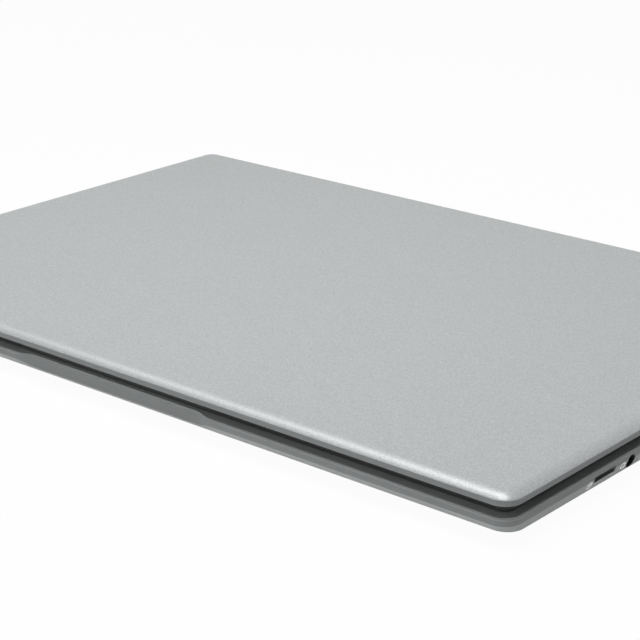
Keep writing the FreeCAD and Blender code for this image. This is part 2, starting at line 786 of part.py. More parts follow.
def make_lid_leaf(side, label):
    name = f"hinge_lid_{label}"
    span = mirrored_pair("leaf_start", "leaf_end", side)
    plate_span = mirrored_pair("leaf_start", "leaf_end + bracket_spread", side)
    plate = box(name + "_plate", plate_span, ("hinge_y - bracket_length", "bezel_rear - wall_gap"),
                ("lid_inside - bracket_plate", "lid_inside"))
    bridge = box(name + "_bridge", span, ("hinge_y - bracket_length", "hinge_y + knuckle_radius"),
                 ("lid_inside - bracket_plate", "lid_inside"))
    web = box(name + "_web", span, ("hinge_y - knuckle_radius", "hinge_y + knuckle_radius"),
              ("hinge_z", "lid_inside"))
    knuckle = rod(name + "_knuckle", (span[0], "hinge_y", "hinge_z"), "knuckle_radius",
                  "knuckle_length", along_x=True)
    blank = join(name + "_blank", [plate, bridge, web, knuckle])
    bore = rod(name + "_bore", (span[0], "hinge_y", "hinge_z"), "pin_radius + pin_clearance/2",
               "knuckle_length", along_x=True)
    holes = [rod(f"{name}_hole_{place}", (x, y, "lid_inside - bracket_plate"),
                 "screw_radius + screw_hole_clearance", "bracket_plate")
             for owner, place, x, y in leaf_screw_places() if owner == label]
    keep(cut(name + "_cut", blank, [bore] + holes), name)


def make_pin(side, label):
    """The pin runs through both knuckles, with a head against the inner one."""
    name = f"hinge_pin_{label}"
    seat = "knuckle_start - pin_clearance"
    head_span = mirrored_pair(f"{seat} - pin_head_length", seat, side)
    shank_span = mirrored_pair(f"{seat} - pin_head_length", "leaf_end", side)
    head = rod(name + "_head", (head_span[0], "hinge_y", "hinge_z"), "pin_head_radius",
               "pin_head_length", along_x=True)
    shank = rod(name + "_shank", (shank_span[0], "hinge_y", "hinge_z"), "pin_radius",
                f"({shank_span[1]}) - ({shank_span[0]})", along_x=True)
    keep(join(name + "_whole", [head, shank]), name)


def make_screen_cable():
    """The cable crosses the hinge along its axis, where its two halves meet end to end."""
    bay_start, bay_end = "-(cover_half) - cable_width", "-(cover_half)"
    run = (f"{bay_start}", f"{bay_end} - pin_clearance")
    under = box("cable_under_deck", run, ("hinge_y - arm_reach - cable_run", "hinge_y - arm_root"),
                ("parting - bracket_plate", "parting - bracket_plate + cable_thickness"))
    rise = box("cable_rise", run, ("hinge_y - arm_root - cable_thickness", "hinge_y - arm_root"),
               ("parting - bracket_plate", "hinge_z - cable_drop + cable_thickness"))
    over = box("cable_over_wall", run, ("hinge_y - arm_root", "hinge_y"),
               ("hinge_z - cable_drop", "hinge_z - cable_drop + cable_thickness"))
    turn = box("cable_turn", run, ("hinge_y - cable_thickness/2", "hinge_y + cable_thickness/2"),
               ("hinge_z - cable_drop", "hinge_z"))
    core = rod("cable_core", (run[0], "hinge_y", "hinge_z"), "cable_radius",
               f"({run[1]}) - ({run[0]})", along_x=True)
    end = "hinge_y - arm_reach - cable_run"
    fall = box("cable_fall", run, (end, f"{end} + cable_thickness"),
               ("board_top", "parting - bracket_plate"))
    keep(join("cable_base_whole", [fall, under, rise, over, turn, core]), "display_cable_base")
    exit_end = "-(cover_half) + cable_depth_in_barrel"
    tail = (f"{exit_end} - cable_tail_width", exit_end)
    rolled = rod("cable_in_barrel", ("-(cover_half)", "hinge_y", "hinge_z"), "cable_radius",
                 "cable_depth_in_barrel", along_x=True)
    flat = box("cable_tail", tail, ("panel_rear", "hinge_y"),
               ("hinge_z - cable_thickness/2", "hinge_z + cable_thickness/2"))
    keep(join("cable_lid_whole", [rolled, flat]), "display_cable_lid")


# Base shell


def make_bottom_cover():
    """A shallow tray with an upright band, a bevel below it and a floor that falls towards the rear."""
    body = new_body("bottom_cover_body")
    band = new_sketch(body, "band_plan", height="band_foot")
    base_outline(band)
    pad(body, band, "band_height")
    upper = new_sketch(body, "bevel_top", height="band_foot")
    base_outline(upper)
    lower = new_sketch(body, "bevel_bottom", height="rear_foot_height")
    base_outline(lower, "bevel_side*bevel_ratio", "bevel_front*bevel_ratio")
    bevel = body.newObject("PartDesign::AdditiveLoft", "bevel")
    bevel.Profile = upper
    bevel.Sections = [lower]
    bevel.Ruled = True
    DOCUMENT.recompute()
    wedge = new_sketch(body, "underside", plane="YZ_Plane")
    polygon(wedge, [("front", "bottom_front"), ("body_depth/2", "rear_foot_height"),
                    ("body_depth/2", "-bevel_height"), ("front", "-bevel_height")])
    pocket(body, wedge, both_ways=True)
    hollow = new_sketch(body, "tray", height=floor_inside("0"))
    hollow.AttachmentOffset = FreeCAD.Placement(hollow.AttachmentOffset.Base, FreeCAD.Rotation(ALONG_X, -1))
    bind(hollow, "AttachmentOffset.Rotation.Angle", "-atan(wedge_rise/body_depth)")
    rounded_rectangle(hollow, ("-(inner_side)", "inner_side"), ("inner_front", "inner_rear"),
                      "inner_corner")
    pocket(body, hollow, upward=True)
    cut_scoop(body, "bottom_scoop", "parting")
    stands = join("tray_with_posts", [body] + floor_posts())
    keep(cut("bottom_cover_cut", stands, bottom_cover_cuts()), "bottom_cover")


def floor_posts():
    """Short posts on the floor that carry the main board, the storage module and the side board."""
    columns = ("board_left + standoff_inset", "(board_left + board_right)/2",
               "board_right - standoff_inset")
    rows = ("board_front + standoff_inset", "board_rear - standoff_inset")
    spots = [(x, y, "board_height") for x in columns for y in rows]
    spots.append(("board_right + storage_length - standoff_radius",
                  "board_rear - storage_rear_inset - storage_width/2", "board_height"))
    side_column = "inner_side - wall_gap - side_board_width/2"
    spots.append((side_column, "side_board_front + standoff_radius", "side_board_height"))
    spots.append((side_column, "side_board_rear - standoff_radius", "side_board_height"))
    posts = []
    for count, (x, y, top) in enumerate(spots, start=1):
        foot = f"{floor_under(y)} + floor_thickness/2"
        posts.append(rod(f"post_{count}", (x, y, foot), "standoff_radius", f"{top} - ({foot})"))
    return posts


def bottom_screw_places():
    """Three screws along each side and two behind the front edge."""
    rows = (("front", "front + front_screw_inset"), ("middle", "0"), ("rear", "base_rear - rear_screw_inset"))
    spots = [(f"{row}_{label}", f"{side}*(body_width/2 - screw_inset)", y)
             for row, y in rows for side, label in BOTH_SIDES]
    palm = "inner_front + boss_radius + boss_clearance"
    return spots + [(f"palm_{label}", f"{side}*front_screw_spread", palm) for side, label in BOTH_SIDES]


def foot_places():
    rows = (("front", "front + front_foot_inset"), ("rear", "base_rear - rear_foot_inset"))
    return [(row, label, f"{side}*(body_width/2 - foot_side_inset)", y)
            for row, y in rows for side, label in BOTH_SIDES]


def bottom_cover_cuts():
    """Every hole through the bottom cover: screws, feet seats, speaker slots and ports."""
    tools = []
    for place, x, y in bottom_screw_places():
        tools.append(rod(f"screw_way_{place}", (x, y, "0"), "screw_radius + screw_hole_clearance",
                         "parting"))
        tools.append(rod(f"screw_seat_{place}", (x, y, "0"), "screw_head_radius + screw_hole_clearance",
                         f"{floor_under(y)} + screw_head_recess + screw_head_height"))
    for place, label, x, y in foot_places():
        tools.append(rod(f"foot_seat_{place}_{label}", (x, y, "0"), "foot_radius + foot_clearance",
                         f"{floor_under(y)} + foot_recess"))
    for side, label in BOTH_SIDES:
        for count in range(SIZES["grille_slots"]):
            middle = (f"{side}*(body_width/2 - speaker_side_inset - speaker_length/2"
                      f" + ({count} - (grille_slots - 1)/2)*grille_pitch)")
            y = "inner_front + wall_gap + speaker_depth/2"
            tools.append(box(f"grille_{label}_{count}",
                             (f"{middle} - grille_slot_width/2", f"{middle} + grille_slot_width/2"),
                             (f"{y} - grille_slot_length/2", f"{y} + grille_slot_length/2"),
                             ("0", "bottom_front + floor_thickness")))
    right_wall = ("inner_side - wall_gap", "body_width/2 + wall_gap")
    left_wall = ("-(body_width/2 + wall_gap)", "-(inner_side - wall_gap)")
    tools.append(stadium_x("card_slot_hole", "slot_y", "slot_rise", "slot_length", "slot_height",
                           right_wall))
    tools.append(rod("jack_hole", (right_wall[0], "jack_y", "jack_rise"), "jack_radius",
                     f"({right_wall[1]}) - ({right_wall[0]})", along_x=True))
    room = "jack_body_width/2 + jack_pocket_clearance"
    tools.append(box("jack_pocket", ("port_face - jack_length - jack_pocket_clearance", "inner_side"),
                     (f"jack_y - ({room})", f"jack_y + {room}"),
                     ("jack_rise - jack_radius - jack_wall - jack_pocket_clearance", "parting")))
    for name, place, width, height in side_sockets():
        spare = "2*socket_hole_clearance"
        tools.append(stadium_x(name + "_hole", f"base_rear - {place}", "socket_rise",
                               f"{width} + {spare}", f"{height} + {spare}", left_wall))
    return tools


def make_top_case():
    body = new_body("top_case_body")
    plan = new_sketch(body, "deck_plan", height="parting")
    base_outline(plan)
    blank = pad(body, plan, "deck_thickness")
    DOCUMENT.recompute()
    slope = bevel_edges(body, blank, "deck_slope", "deck_top", "slope_drop", "slope_width")
    bevel_edges(body, slope, "deck_edge", "deck_top - slope_drop", "edge_drop", "edge_width")
    cut_scoop(body, "deck_scoop", "deck_top")
    bosses = [rod(f"boss_{place}", (x, y, f"{floor_inside(y)} + boss_clearance"), "boss_radius",
                  f"parting - ({floor_inside(y)} + boss_clearance)")
              for place, x, y in bottom_screw_places()]
    bossed = join("deck_with_bosses", [body] + bosses)
    keep(cut("top_case_cut", bossed, top_case_cuts()), "top_case")


def bevel_edges(body, base, name, height, drop, width):
    """Slope the rim of the deck: down its side by one size, in over its top by the other."""
    rim = body.newObject("PartDesign::Chamfer", name)
    level = number(height)
    rim.Base = (base, edge_names(base.Shape, lambda edge: at_height(edge, level)))
    rim.ChamferType = "Two distances"
    bind(rim, "Size", drop)
    bind(rim, "Size2", width)
    DOCUMENT.recompute()
    return rim


def top_case_cuts():
    """Key openings, the touchpad opening, screw holes and the hinge and cable notches."""
    tools = []
    for place, x, y in bottom_screw_places():
        start = f"{floor_inside(y)} + boss_clearance"
        tools.append(rod(f"boss_hole_{place}", (x, y, start), "screw_radius + screw_hole_clearance/2",
                         "screw_bite + screw_hole_clearance"))
    for label, place, x, y in bracket_screw_places():
        tools.append(rod(f"deck_screw_hole_{label}_{place}", (x, y, "parting"),
                         "screw_radius + screw_hole_clearance", "bracket_bite + screw_hole_clearance"))
    for side, label in BOTH_SIDES:
        span = mirrored_pair("knuckle_start - notch_clearance",
                             "knuckle_start + knuckle_length + notch_clearance", side)
        tools.append(box(f"arm_notch_{label}", span,
                         ("hinge_y - arm_reach - notch_clearance", "body_depth/2"), ("parting", "deck_top")))
    tools.append(box("cable_notch",
                     ("-(cover_half) - cable_width - cable_clearance", "-(cover_half) + cable_clearance"),
                     ("hinge_y - arm_root - cable_thickness - cable_clearance", "body_depth/2"),
                     ("parting", "deck_top")))
    room = "touchpad_width/2 + touchpad_clearance"
    tools.append(box("touchpad_well", (f"-({room})", room),
                     ("touchpad_front - touchpad_clearance", "touchpad_rear + touchpad_clearance"),
                     ("parting", "deck_top")))
    for name, x, y in all_keys():
        tools.append(box("well_" + name, (f"{x[0]} - key_clearance", f"{x[1]} + key_clearance"),
                         (f"{y[0]} - key_clearance", f"{y[1]} + key_clearance"), ("parting", "deck_top")))
    return tools


# Keyboard: each row lists its key groups as (group, count, width of one key in key units)

KEY_ROWS = [
    [("function_keys", 14, 1), ("power_key", 1, 1)],
    [("number_keys", 13, 1), ("backspace_key", 1, 2)],
    [("tab_key", 1, 1.5), ("upper_letter_keys", 12, 1), ("upper_letter_keys", 1, 1.5)],
    [("caps_lock_key", 1, 1.75), ("home_letter_keys", 11, 1), ("enter_key", 1, 2.25)],
    [("left_shift_key", 1, 2.25), ("lower_letter_keys", 10, 1), ("right_shift_key", 1, 2.75)],
    [("modifier_keys", 3, 1), ("modifier_keys", 1, 1.25), ("space_bar", 1, 5.5), ("modifier_keys", 1, 1.25),
     ("modifier_keys", 1, 1), ("left_arrow_key", 1, 1), ("arrow_pair", 1, 1), ("right_arrow_key", 1, 1)],
]


def key_layout():
    """Every keycap as (group, x stretch, y stretch)."""
    caps = []
    for row, groups in enumerate(KEY_ROWS):
        rear = "keyboard_rear" if row == 0 else f"(keyboard_rear - function_pitch - {row - 1}*row_pitch)"
        depth = "function_pitch" if row == 0 else "row_pitch"
        y = (f"{rear} - {depth} + key_gap/2", f"{rear} - key_gap/2")
        column = 0
        for name, count, width in groups:
            for place in range(count):
                start = column + place*width
                x = (f"-keyboard_side + {start}*key_pitch + key_gap/2",
                     f"-keyboard_side + {start + width}*key_pitch - key_gap/2")
                if name == "arrow_pair":
                    middle = f"({rear} - {depth}/2)"
                    caps.append(("up_arrow_key", x, (f"{middle} + half_key_gap", y[1])))
                    caps.append(("down_arrow_key", x, (y[0], f"{middle} - half_key_gap")))
                else:
                    caps.append((name, x, y))
            column += count*width
    return caps


def all_keys():
    return [(f"{name}_{place}", x, y) for place, (name, x, y) in enumerate(key_layout(), start=1)]


def keycap(name, x, y):
    """A cap with rounded upright corners, hollow below for its rubber dome."""
    blank = box(name + "_blank", x, y, ("cap_foot", "cap_top"))
    hollow = box(name + "_hollow", (f"{x[0]} + key_wall", f"{x[1]} - key_wall"),
                 (f"{y[0]} + key_wall", f"{y[1]} - key_wall"), ("cap_foot", "cap_foot + key_hollow"))
    DOCUMENT.recompute()
    turn = number("key_corner")
    rounded = DOCUMENT.addObject("Part::Fillet", name + "_rounded")
    rounded.Base = blank
    rounded.Edges = [(place, turn, turn) for place, edge in enumerate(blank.Shape.Edges, start=1)
                     if edge.BoundBox.XLength < 1e-6 and edge.BoundBox.YLength < 1e-6]
    return cut(name, rounded, [hollow])


def make_keyboard():
    groups = {}
    domes = []
    for (name, x, y), (place_name, _, _) in zip(key_layout(), all_keys()):
        groups.setdefault(name, []).append(keycap("cap_" + place_name, x, y))
        middle = (f"(({x[0]}) + ({x[1]}))/2", f"(({y[0]}) + ({y[1]}))/2", "dome_base")
        domes.append(cone("dome_" + place_name, middle, "dome_foot_radius", "dome_radius", "dome_height"))
    for name, caps in groups.items():
        keep(caps[0] if len(caps) == 1 else group("set_of_" + name, caps), name)
    inset = "plate_border - plate_rim - sheet_clearance"
    sheet = keyboard_block("dome_sheet_flat", inset, ("plate_top", "dome_base"))
    keep(join("dome_sheet_whole", [sheet] + domes), "rubber_dome_sheet")
    tray = keyboard_block("keyboard_tray", "plate_border", ("plate_foot", "parting"))
    well = keyboard_block("keyboard_tray_well", "plate_border - plate_rim", ("plate_top", "parting"))
    keep(cut("keyboard_tray_open", tray, [well]), "keyboard_plate")


def keyboard_block(name, border, z):
    """A block as large as all the keys together with a border round them."""
    return box(name, (f"-keyboard_side - ({border})", f"keyboard_side + ({border})"),
               (f"keyboard_front - ({border})", f"keyboard_rear + ({border})"), z)


def make_touchpad():
    """The pad turns on its rounded rear edge and clicks at its front."""
    half = "touchpad_thickness/2"
    slab = box("touchpad_slab", ("-touchpad_width/2", "touchpad_width/2"),
               ("touchpad_front", f"touchpad_rear - {half}"), ("touchpad_foot", "touchpad_top"))
    pivot = ("-touchpad_width/2", f"touchpad_rear - {half}", f"touchpad_top - {half}")
    rear_edge = rod("touchpad_rear_edge", pivot, half, "touchpad_width", along_x=True)
    keep(join("touchpad_whole", [slab, rear_edge]), "touchpad")
    room = "touchpad_width/2 + touchpad_clearance"
    plate = box("touchpad_frame_block", ("-frame_side", "frame_side"), ("frame_front", "frame_rear"),
                ("frame_foot", "parting"))
    well = box("touchpad_frame_well", (f"-({room})", room),
               ("touchpad_front - touchpad_clearance", "touchpad_rear + touchpad_clearance"),
               ("frame_floor", "parting"))
    dish = cut("touchpad_frame_dish", plate, [well])
    switch = rod("touchpad_switch", ("0", "touchpad_front + switch_inset", "frame_floor"),
                 "switch_radius", "switch_height")
    keep(join("touchpad_frame_whole", [dish, switch]), "touchpad_frame")


# Electronics


def make_boards():
    board = box("board_sheet", ("board_left", "board_right"), ("board_front", "board_rear"),
                ("board_height", "board_top"))
    middle_x, middle_y = "(board_left + board_right)/2", "(board_front + board_rear)/2"
    half = "processor_size/2"
    chips = [box("processor", (f"{middle_x} - {half}", f"{middle_x} + {half}"),
                 (f"{middle_y} - {half}", f"{middle_y} + {half}"), ("board_top", "chip_top"))]
    for count in range(4):
        x = f"{middle_x} + ({count} - 1.5)*memory_pitch"
        rear = f"{middle_y} - {half} - bay_gap"
        chips.append(box(f"memory_{count}", (f"{x} - memory_size/2", f"{x} + memory_size/2"),
                         (f"{rear} - memory_size", rear), ("board_top", "chip_top")))
    chips.append(box("radio", ("board_left + standoff_inset", "board_left + standoff_inset + radio_size"),
                     (f"{middle_y} - radio_size/2", f"{middle_y} + radio_size/2"),
                     ("board_top", "chip_top")))
    keep(join("motherboard_whole", [board] + chips), "motherboard")
    keep(box("spreader_sheet", (f"{middle_x} - spreader_length/2", f"{middle_x} + spreader_length/2"),
             (f"{middle_y} - spreader_depth/2", f"{middle_y} + spreader_depth/2"),
             ("chip_top", "chip_top + spreader_thickness")), "heat_spreader")
    storage_rear = "board_rear - storage_rear_inset"
    keep(box("storage_block", ("board_right", "board_right + storage_length"),
             (f"{storage_rear} - storage_width", storage_rear),
             ("board_height", "board_height + storage_thickness")), "ssd_module")
    keep(box("side_board_sheet", ("inner_side - wall_gap - side_board_width", "inner_side - wall_gap"),
             ("side_board_front", "side_board_rear"),
             ("side_board_height", "side_board_top")), "io_board")


def make_batteries():
    """Two tall cells beside the touchpad and a thin one under it."""
    cells = []
    foot = floor_inside("battery_front")
    for side, label in BOTH_SIDES:
        span = mirrored_pair("frame_side + bay_gap", "body_width/2 - side_bay", side)
        cells.append(box(f"cell_{label}", span, ("battery_front", "touchpad_rear"),
                         (foot, "parting - battery_clearance")))
    cells.append(box("cell_middle", ("-frame_side", "frame_side"), ("battery_front", "touchpad_rear"),
                     (foot, "frame_foot - battery_under_pad_gap")))
    keep(group("cell_set", cells), "battery_cells")


def make_speakers():
    for side, label in BOTH_SIDES:
        span = mirrored_pair("body_width/2 - speaker_side_inset - speaker_length",
                             "body_width/2 - speaker_side_inset", side)
        front_face = "inner_front + wall_gap"
        foot = floor_inside(front_face)
        keep(box(f"speaker_{label}_block", span, (front_face, f"{front_face} + speaker_depth"),
                 (foot, f"{foot} + speaker_height")), f"speaker_{label}")


def side_sockets():
    """The sockets in the left side as (name, distance from the rear, width, height)."""
    return [("usb_socket_front", "usb_front_place", "usb_width", "usb_height"),
            ("usb_socket_rear", "usb_rear_place", "usb_width", "usb_height"),
            ("video_socket", "video_place", "video_width", "video_height")]


def make_ports():
    for name, place, width, height in side_sockets():
        y = f"base_rear - {place}"
        face, back = "-(port_face)", "board_left"
        shell = stadium_x(name + "_shell", y, "socket_rise", width, height, (face, back))
        mouth = stadium_x(name + "_mouth", y, "socket_rise", f"{width} - 2*socket_wall",
                          f"{height} - 2*socket_wall", (face, f"{face} + socket_mouth_depth"))
        tongue = box(name + "_tongue", (f"{face} + socket_wall", f"{face} + socket_mouth_depth"),
                     (f"{y} - {width}/2 + {height}/2", f"{y} + {width}/2 - {height}/2"),
                     ("socket_rise - socket_tongue/2", "socket_rise + socket_tongue/2"))
        keep(join(name + "_whole", [cut(name + "_open", shell, [mouth]), tongue]), name)
    reader = box("reader_block", ("port_face - reader_depth", "port_face"),
                 ("slot_y - reader_length/2", "slot_y + reader_length/2"), ("side_board_top", "reader_top"))
    card_way = box("reader_way", ("port_face - reader_depth + bay_gap", "port_face"),
                   ("slot_y - slot_length/2", "slot_y + slot_length/2"),
                   ("slot_rise - slot_height/2 + wall_gap/2", "slot_rise + slot_height/2 - wall_gap/2"))
    keep(cut("reader_open", reader, [card_way]), "card_reader")
    jack = box("jack_block", ("port_face - jack_length", "port_face"),
               ("jack_y - jack_body_width/2", "jack_y + jack_body_width/2"),
               ("jack_rise - jack_radius - jack_wall", "jack_rise + jack_radius + jack_wall"))
    bore = rod("jack_bore", ("port_face - jack_bore_depth", "jack_y", "jack_rise"), "jack_radius",
               "jack_bore_depth", along_x=True)
    keep(cut("jack_open", jack, [bore]), "headphone_socket")


def make_ribbons():
    x = ("board_right - keyboard_ribbon_inset - ribbon_width", "board_right - keyboard_ribbon_inset")
    rear = "board_front + ribbon_lap + keyboard_ribbon_length"
    flat = box("keyboard_ribbon_flat", x, ("board_front + ribbon_lap", rear),
               ("plate_foot - ribbon_thickness", "plate_foot"))
    front_end = "board_front + ribbon_lap"
    drop = box("keyboard_ribbon_drop", x, (front_end, f"{front_end} + ribbon_thickness"),
               ("board_top", "plate_foot"))
    keep(join("keyboard_ribbon_whole", [flat, drop]), "keyboard_ribbon")
    across = ("-ribbon_width/2", "ribbon_width/2")
    start = "touchpad_rear + wall_gap"
    fall = box("touchpad_ribbon_drop", across, (start, f"{start} + ribbon_thickness"),
               ("board_top", "frame_foot"))
    run = box("touchpad_ribbon_run", across, (start, "board_front + ribbon_lap"),
              ("board_top", "board_top + ribbon_thickness"))
    keep(join("touchpad_ribbon_whole", [fall, run]), "touchpad_ribbon")


# Feet and bottom screws


def make_feet():
    for end in ("front", "rear"):
        pads = [cone(f"foot_{place}_{label}", (x, y, "0"), "foot_radius - foot_taper", "foot_radius",
                     f"{floor_under(y)} + foot_recess")
                for place, label, x, y in foot_places() if place == end]
        keep(group(f"foot_pair_{end}", pads), f"{end}_feet")


def make_bottom_screws():
    screws = []
    for place, x, y in bottom_screw_places():
        foot = f"{floor_under(y)} + screw_head_recess"
        head = rod(f"bottom_head_{place}", (x, y, foot), "screw_head_radius", "screw_head_height")
        shank = rod(f"bottom_shank_{place}", (x, y, foot), "screw_radius",
                    f"{floor_inside(y)} + boss_clearance + screw_bite - ({foot})")
        screws.append(join(f"bottom_screw_{place}", [head, shank]))
    keep(group("bottom_screw_set", screws), "bottom_screws")


def write_parts():
    """Check every object, then write one file for each sub-part."""
    DOCUMENT.recompute()
    for item in DOCUMENT.Objects:
        if "Invalid" in item.State or "Error" in item.State:
            raise RuntimeError(f"{item.Name} failed: {item.State}")
    for item in PARTS:
        if item.Shape.isNull() or not item.Shape.isValid() or not item.Shape.Solids:
            raise RuntimeError(f"{item.Label} has no valid solid")
    os.makedirs("parts", exist_ok=True)
    for item in PARTS:
        item.Shape.exportStep(f"parts/{item.Label}.step")
    print(len(PARTS), "sub-parts written")


make_lid_cover()
make_display_bezel()
make_screen()
make_camera()
make_lid_trim()
make_hinge_cover()
make_hinges()
make_screen_cable()
make_bottom_cover()
make_top_case()
make_keyboard()
make_touchpad()
make_boards()
make_batteries()
make_speakers()
make_ports()
make_ribbons()
make_feet()
make_bottom_screws()
write_parts()
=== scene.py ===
# %% [markdown]
# # A closed laptop in light grey metal
# A thin laptop is two shallow metal shells joined by a hinge. The CAD model already has every solid in its
# place, so this lesson keeps those places and makes the finer surface: rounded rims, keycaps with a dish in
# the top, and finishes with a visible grain. Sizes below are millimetres, and Blender itself gets metres.

# %% Load the CAD model
import json
import math
import bpy
import bmesh
from mathutils import Matrix, Quaternion, Vector

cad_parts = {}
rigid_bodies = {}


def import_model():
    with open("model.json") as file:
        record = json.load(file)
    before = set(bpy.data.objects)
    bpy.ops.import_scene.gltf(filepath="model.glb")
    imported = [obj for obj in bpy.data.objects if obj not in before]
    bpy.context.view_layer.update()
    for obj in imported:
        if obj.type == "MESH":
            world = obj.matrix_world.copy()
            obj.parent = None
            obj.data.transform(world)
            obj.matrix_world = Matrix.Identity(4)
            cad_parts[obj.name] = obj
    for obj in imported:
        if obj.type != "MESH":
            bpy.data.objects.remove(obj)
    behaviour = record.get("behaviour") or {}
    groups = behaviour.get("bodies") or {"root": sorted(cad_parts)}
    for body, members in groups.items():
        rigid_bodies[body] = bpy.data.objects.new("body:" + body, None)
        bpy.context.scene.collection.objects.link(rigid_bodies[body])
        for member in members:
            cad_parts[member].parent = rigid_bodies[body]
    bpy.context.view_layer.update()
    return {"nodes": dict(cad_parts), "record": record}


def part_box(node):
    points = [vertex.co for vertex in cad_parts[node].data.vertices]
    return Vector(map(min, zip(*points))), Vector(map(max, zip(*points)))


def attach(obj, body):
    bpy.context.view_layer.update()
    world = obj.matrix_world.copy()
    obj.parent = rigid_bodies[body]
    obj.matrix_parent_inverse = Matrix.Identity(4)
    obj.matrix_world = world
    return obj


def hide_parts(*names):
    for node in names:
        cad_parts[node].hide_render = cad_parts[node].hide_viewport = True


for thing in list(bpy.data.objects):
    bpy.data.objects.remove(thing)
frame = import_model()
nodes = frame["nodes"]
MM = 0.001


def box_mm(name):
    """The lowest and the highest corner of a CAD node, in millimetres."""
    low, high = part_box(name)
    return low / MM, high / MM


# %% [markdown]
# ## The camera
# A product picture is taken with a long lens from some distance, so the long edges stay nearly parallel. The
# place and the lens were worked out from the vanishing lines of the lid, the band and the corner.

# %% Camera
LENS, SENSOR = 107.078, 36.0
CAMERA_AT, LOOK_DOWN, LOOK_LEFT = (0.442204, -0.523764, 0.249207), 19.9742, 40.2724
lens = bpy.data.cameras.new("product_camera")
lens.lens, lens.sensor_width = LENS, SENSOR
camera = bpy.data.objects.new("product_camera", lens)
camera.location = CAMERA_AT
camera.rotation_euler = (math.radians(90 - LOOK_DOWN), 0, math.radians(LOOK_LEFT))
bpy.context.scene.collection.objects.link(camera)
bpy.context.scene.camera = camera
print("camera lens:", round(lens.lens, 1), "mm")

# %% [markdown]
# ## Effects that several finishes share
# Painted and blasted metal is never one flat colour: under a lamp it shows tiny specks. Rolled steel and
# copper show fine lines instead. Each effect is a node group that is built once, and each material that uses
# it gives its own colour, scale and strength. Both put out a colour, a roughness and a height for the bump.

# %% Small helpers for node trees
FLOAT, COLOUR = "NodeSocketFloat", "NodeSocketColor"


def plug(tree, value, socket):
    """Link a socket, or set a plain value."""
    if isinstance(value, bpy.types.NodeSocket):
        tree.links.new(value, socket)
    else:
        socket.default_value = value


def place(tree, kind, **values):
    """Add a node and set the sockets that are named."""
    node = tree.nodes.new(kind)
    for label, value in values.items():
        plug(tree, value, node.inputs[label.replace("_", " ")])
    return node


def sum_up(tree, how, first, second):
    """A math node on two values or sockets."""
    node = tree.nodes.new("ShaderNodeMath")
    node.operation = how
    for value, socket in zip((first, second), node.inputs):
        plug(tree, value, socket)
    return node.outputs[0]


def swing(tree, noise, amount):
    """A noise from 0 to 1 turned into a swing about zero, as large as the amount either way."""
    centred = sum_up(tree, "SUBTRACT", noise, 0.5)
    return sum_up(tree, "MULTIPLY", sum_up(tree, "MULTIPLY", centred, 2.0), amount)


def effect_group(name):
    """A group with the sockets that both effects have, and its two end nodes."""
    tree = bpy.data.node_groups.new(name, "ShaderNodeTree")
    inputs = (("Colour", COLOUR, (0.5, 0.5, 0.5, 1)), ("Scale", FLOAT, 1500.0), ("Contrast", FLOAT, 0.2),
              ("Cloud", FLOAT, 0.04), ("Roughness", FLOAT, 0.5), ("Roughness Spread", FLOAT, 0.2))
    for label, kind, value in inputs:
        tree.interface.new_socket(label, in_out="INPUT", socket_type=kind).default_value = value
    for label, kind in (("Colour", COLOUR), ("Roughness", FLOAT), ("Height", FLOAT)):
        tree.interface.new_socket(label, in_out="OUTPUT", socket_type=kind)
    return tree, tree.nodes.new("NodeGroupInput"), tree.nodes.new("NodeGroupOutput")


def close_effect(tree, given, put, fine, broad):
    """Turn a fine and a broad noise into the three results."""
    specks = swing(tree, fine, given.outputs["Contrast"])
    cloud = swing(tree, broad, given.outputs["Cloud"])
    level = sum_up(tree, "ADD", sum_up(tree, "ADD", specks, cloud), 1.0)
    tint = tree.nodes.new("ShaderNodeVectorMath")
    tint.operation = "SCALE"
    plug(tree, given.outputs["Colour"], tint.inputs[0])
    plug(tree, level, tint.inputs["Scale"])
    rough = swing(tree, fine, given.outputs["Roughness Spread"])
    plug(tree, tint.outputs[0], put.inputs["Colour"])
    plug(tree, sum_up(tree, "ADD", given.outputs["Roughness"], rough), put.inputs["Roughness"])
    plug(tree, fine, put.inputs["Height"])
    print("group", tree.name, "nodes:", len(tree.nodes))


# %% The speck group
grain, given, put = effect_group("surface_grain")
spot = grain.nodes.new("ShaderNodeTexCoord").outputs["Object"]
fine = place(grain, "ShaderNodeTexNoise", Vector=spot, Scale=given.outputs["Scale"], Detail=2.0,
             Roughness=0.6)
broad = place(grain, "ShaderNodeTexNoise", Vector=spot, Scale=35.0, Detail=3.0, Roughness=0.5)
close_effect(grain, given, put, fine.outputs["Fac"], broad.outputs["Fac"])

# %% The brushed group
brushed, given, put = effect_group("brushed_lines")
spot = brushed.nodes.new("ShaderNodeTexCoord").outputs["Object"]
drawn = place(brushed, "ShaderNodeMapping", Vector=spot, Scale=(1.0, 0.03, 1.0))
fine = place(brushed, "ShaderNodeTexNoise", Vector=drawn.outputs[0], Scale=given.outputs["Scale"], Detail=3.0,
             Roughness=0.65)
broad = place(brushed, "ShaderNodeTexNoise", Vector=spot, Scale=90.0, Detail=2.0, Roughness=0.5)
close_effect(brushed, given, put, fine.outputs["Fac"], broad.outputs["Fac"])


# %% A finish that uses one of the effects
BUMP_DEPTH = 0.0002
look = {}


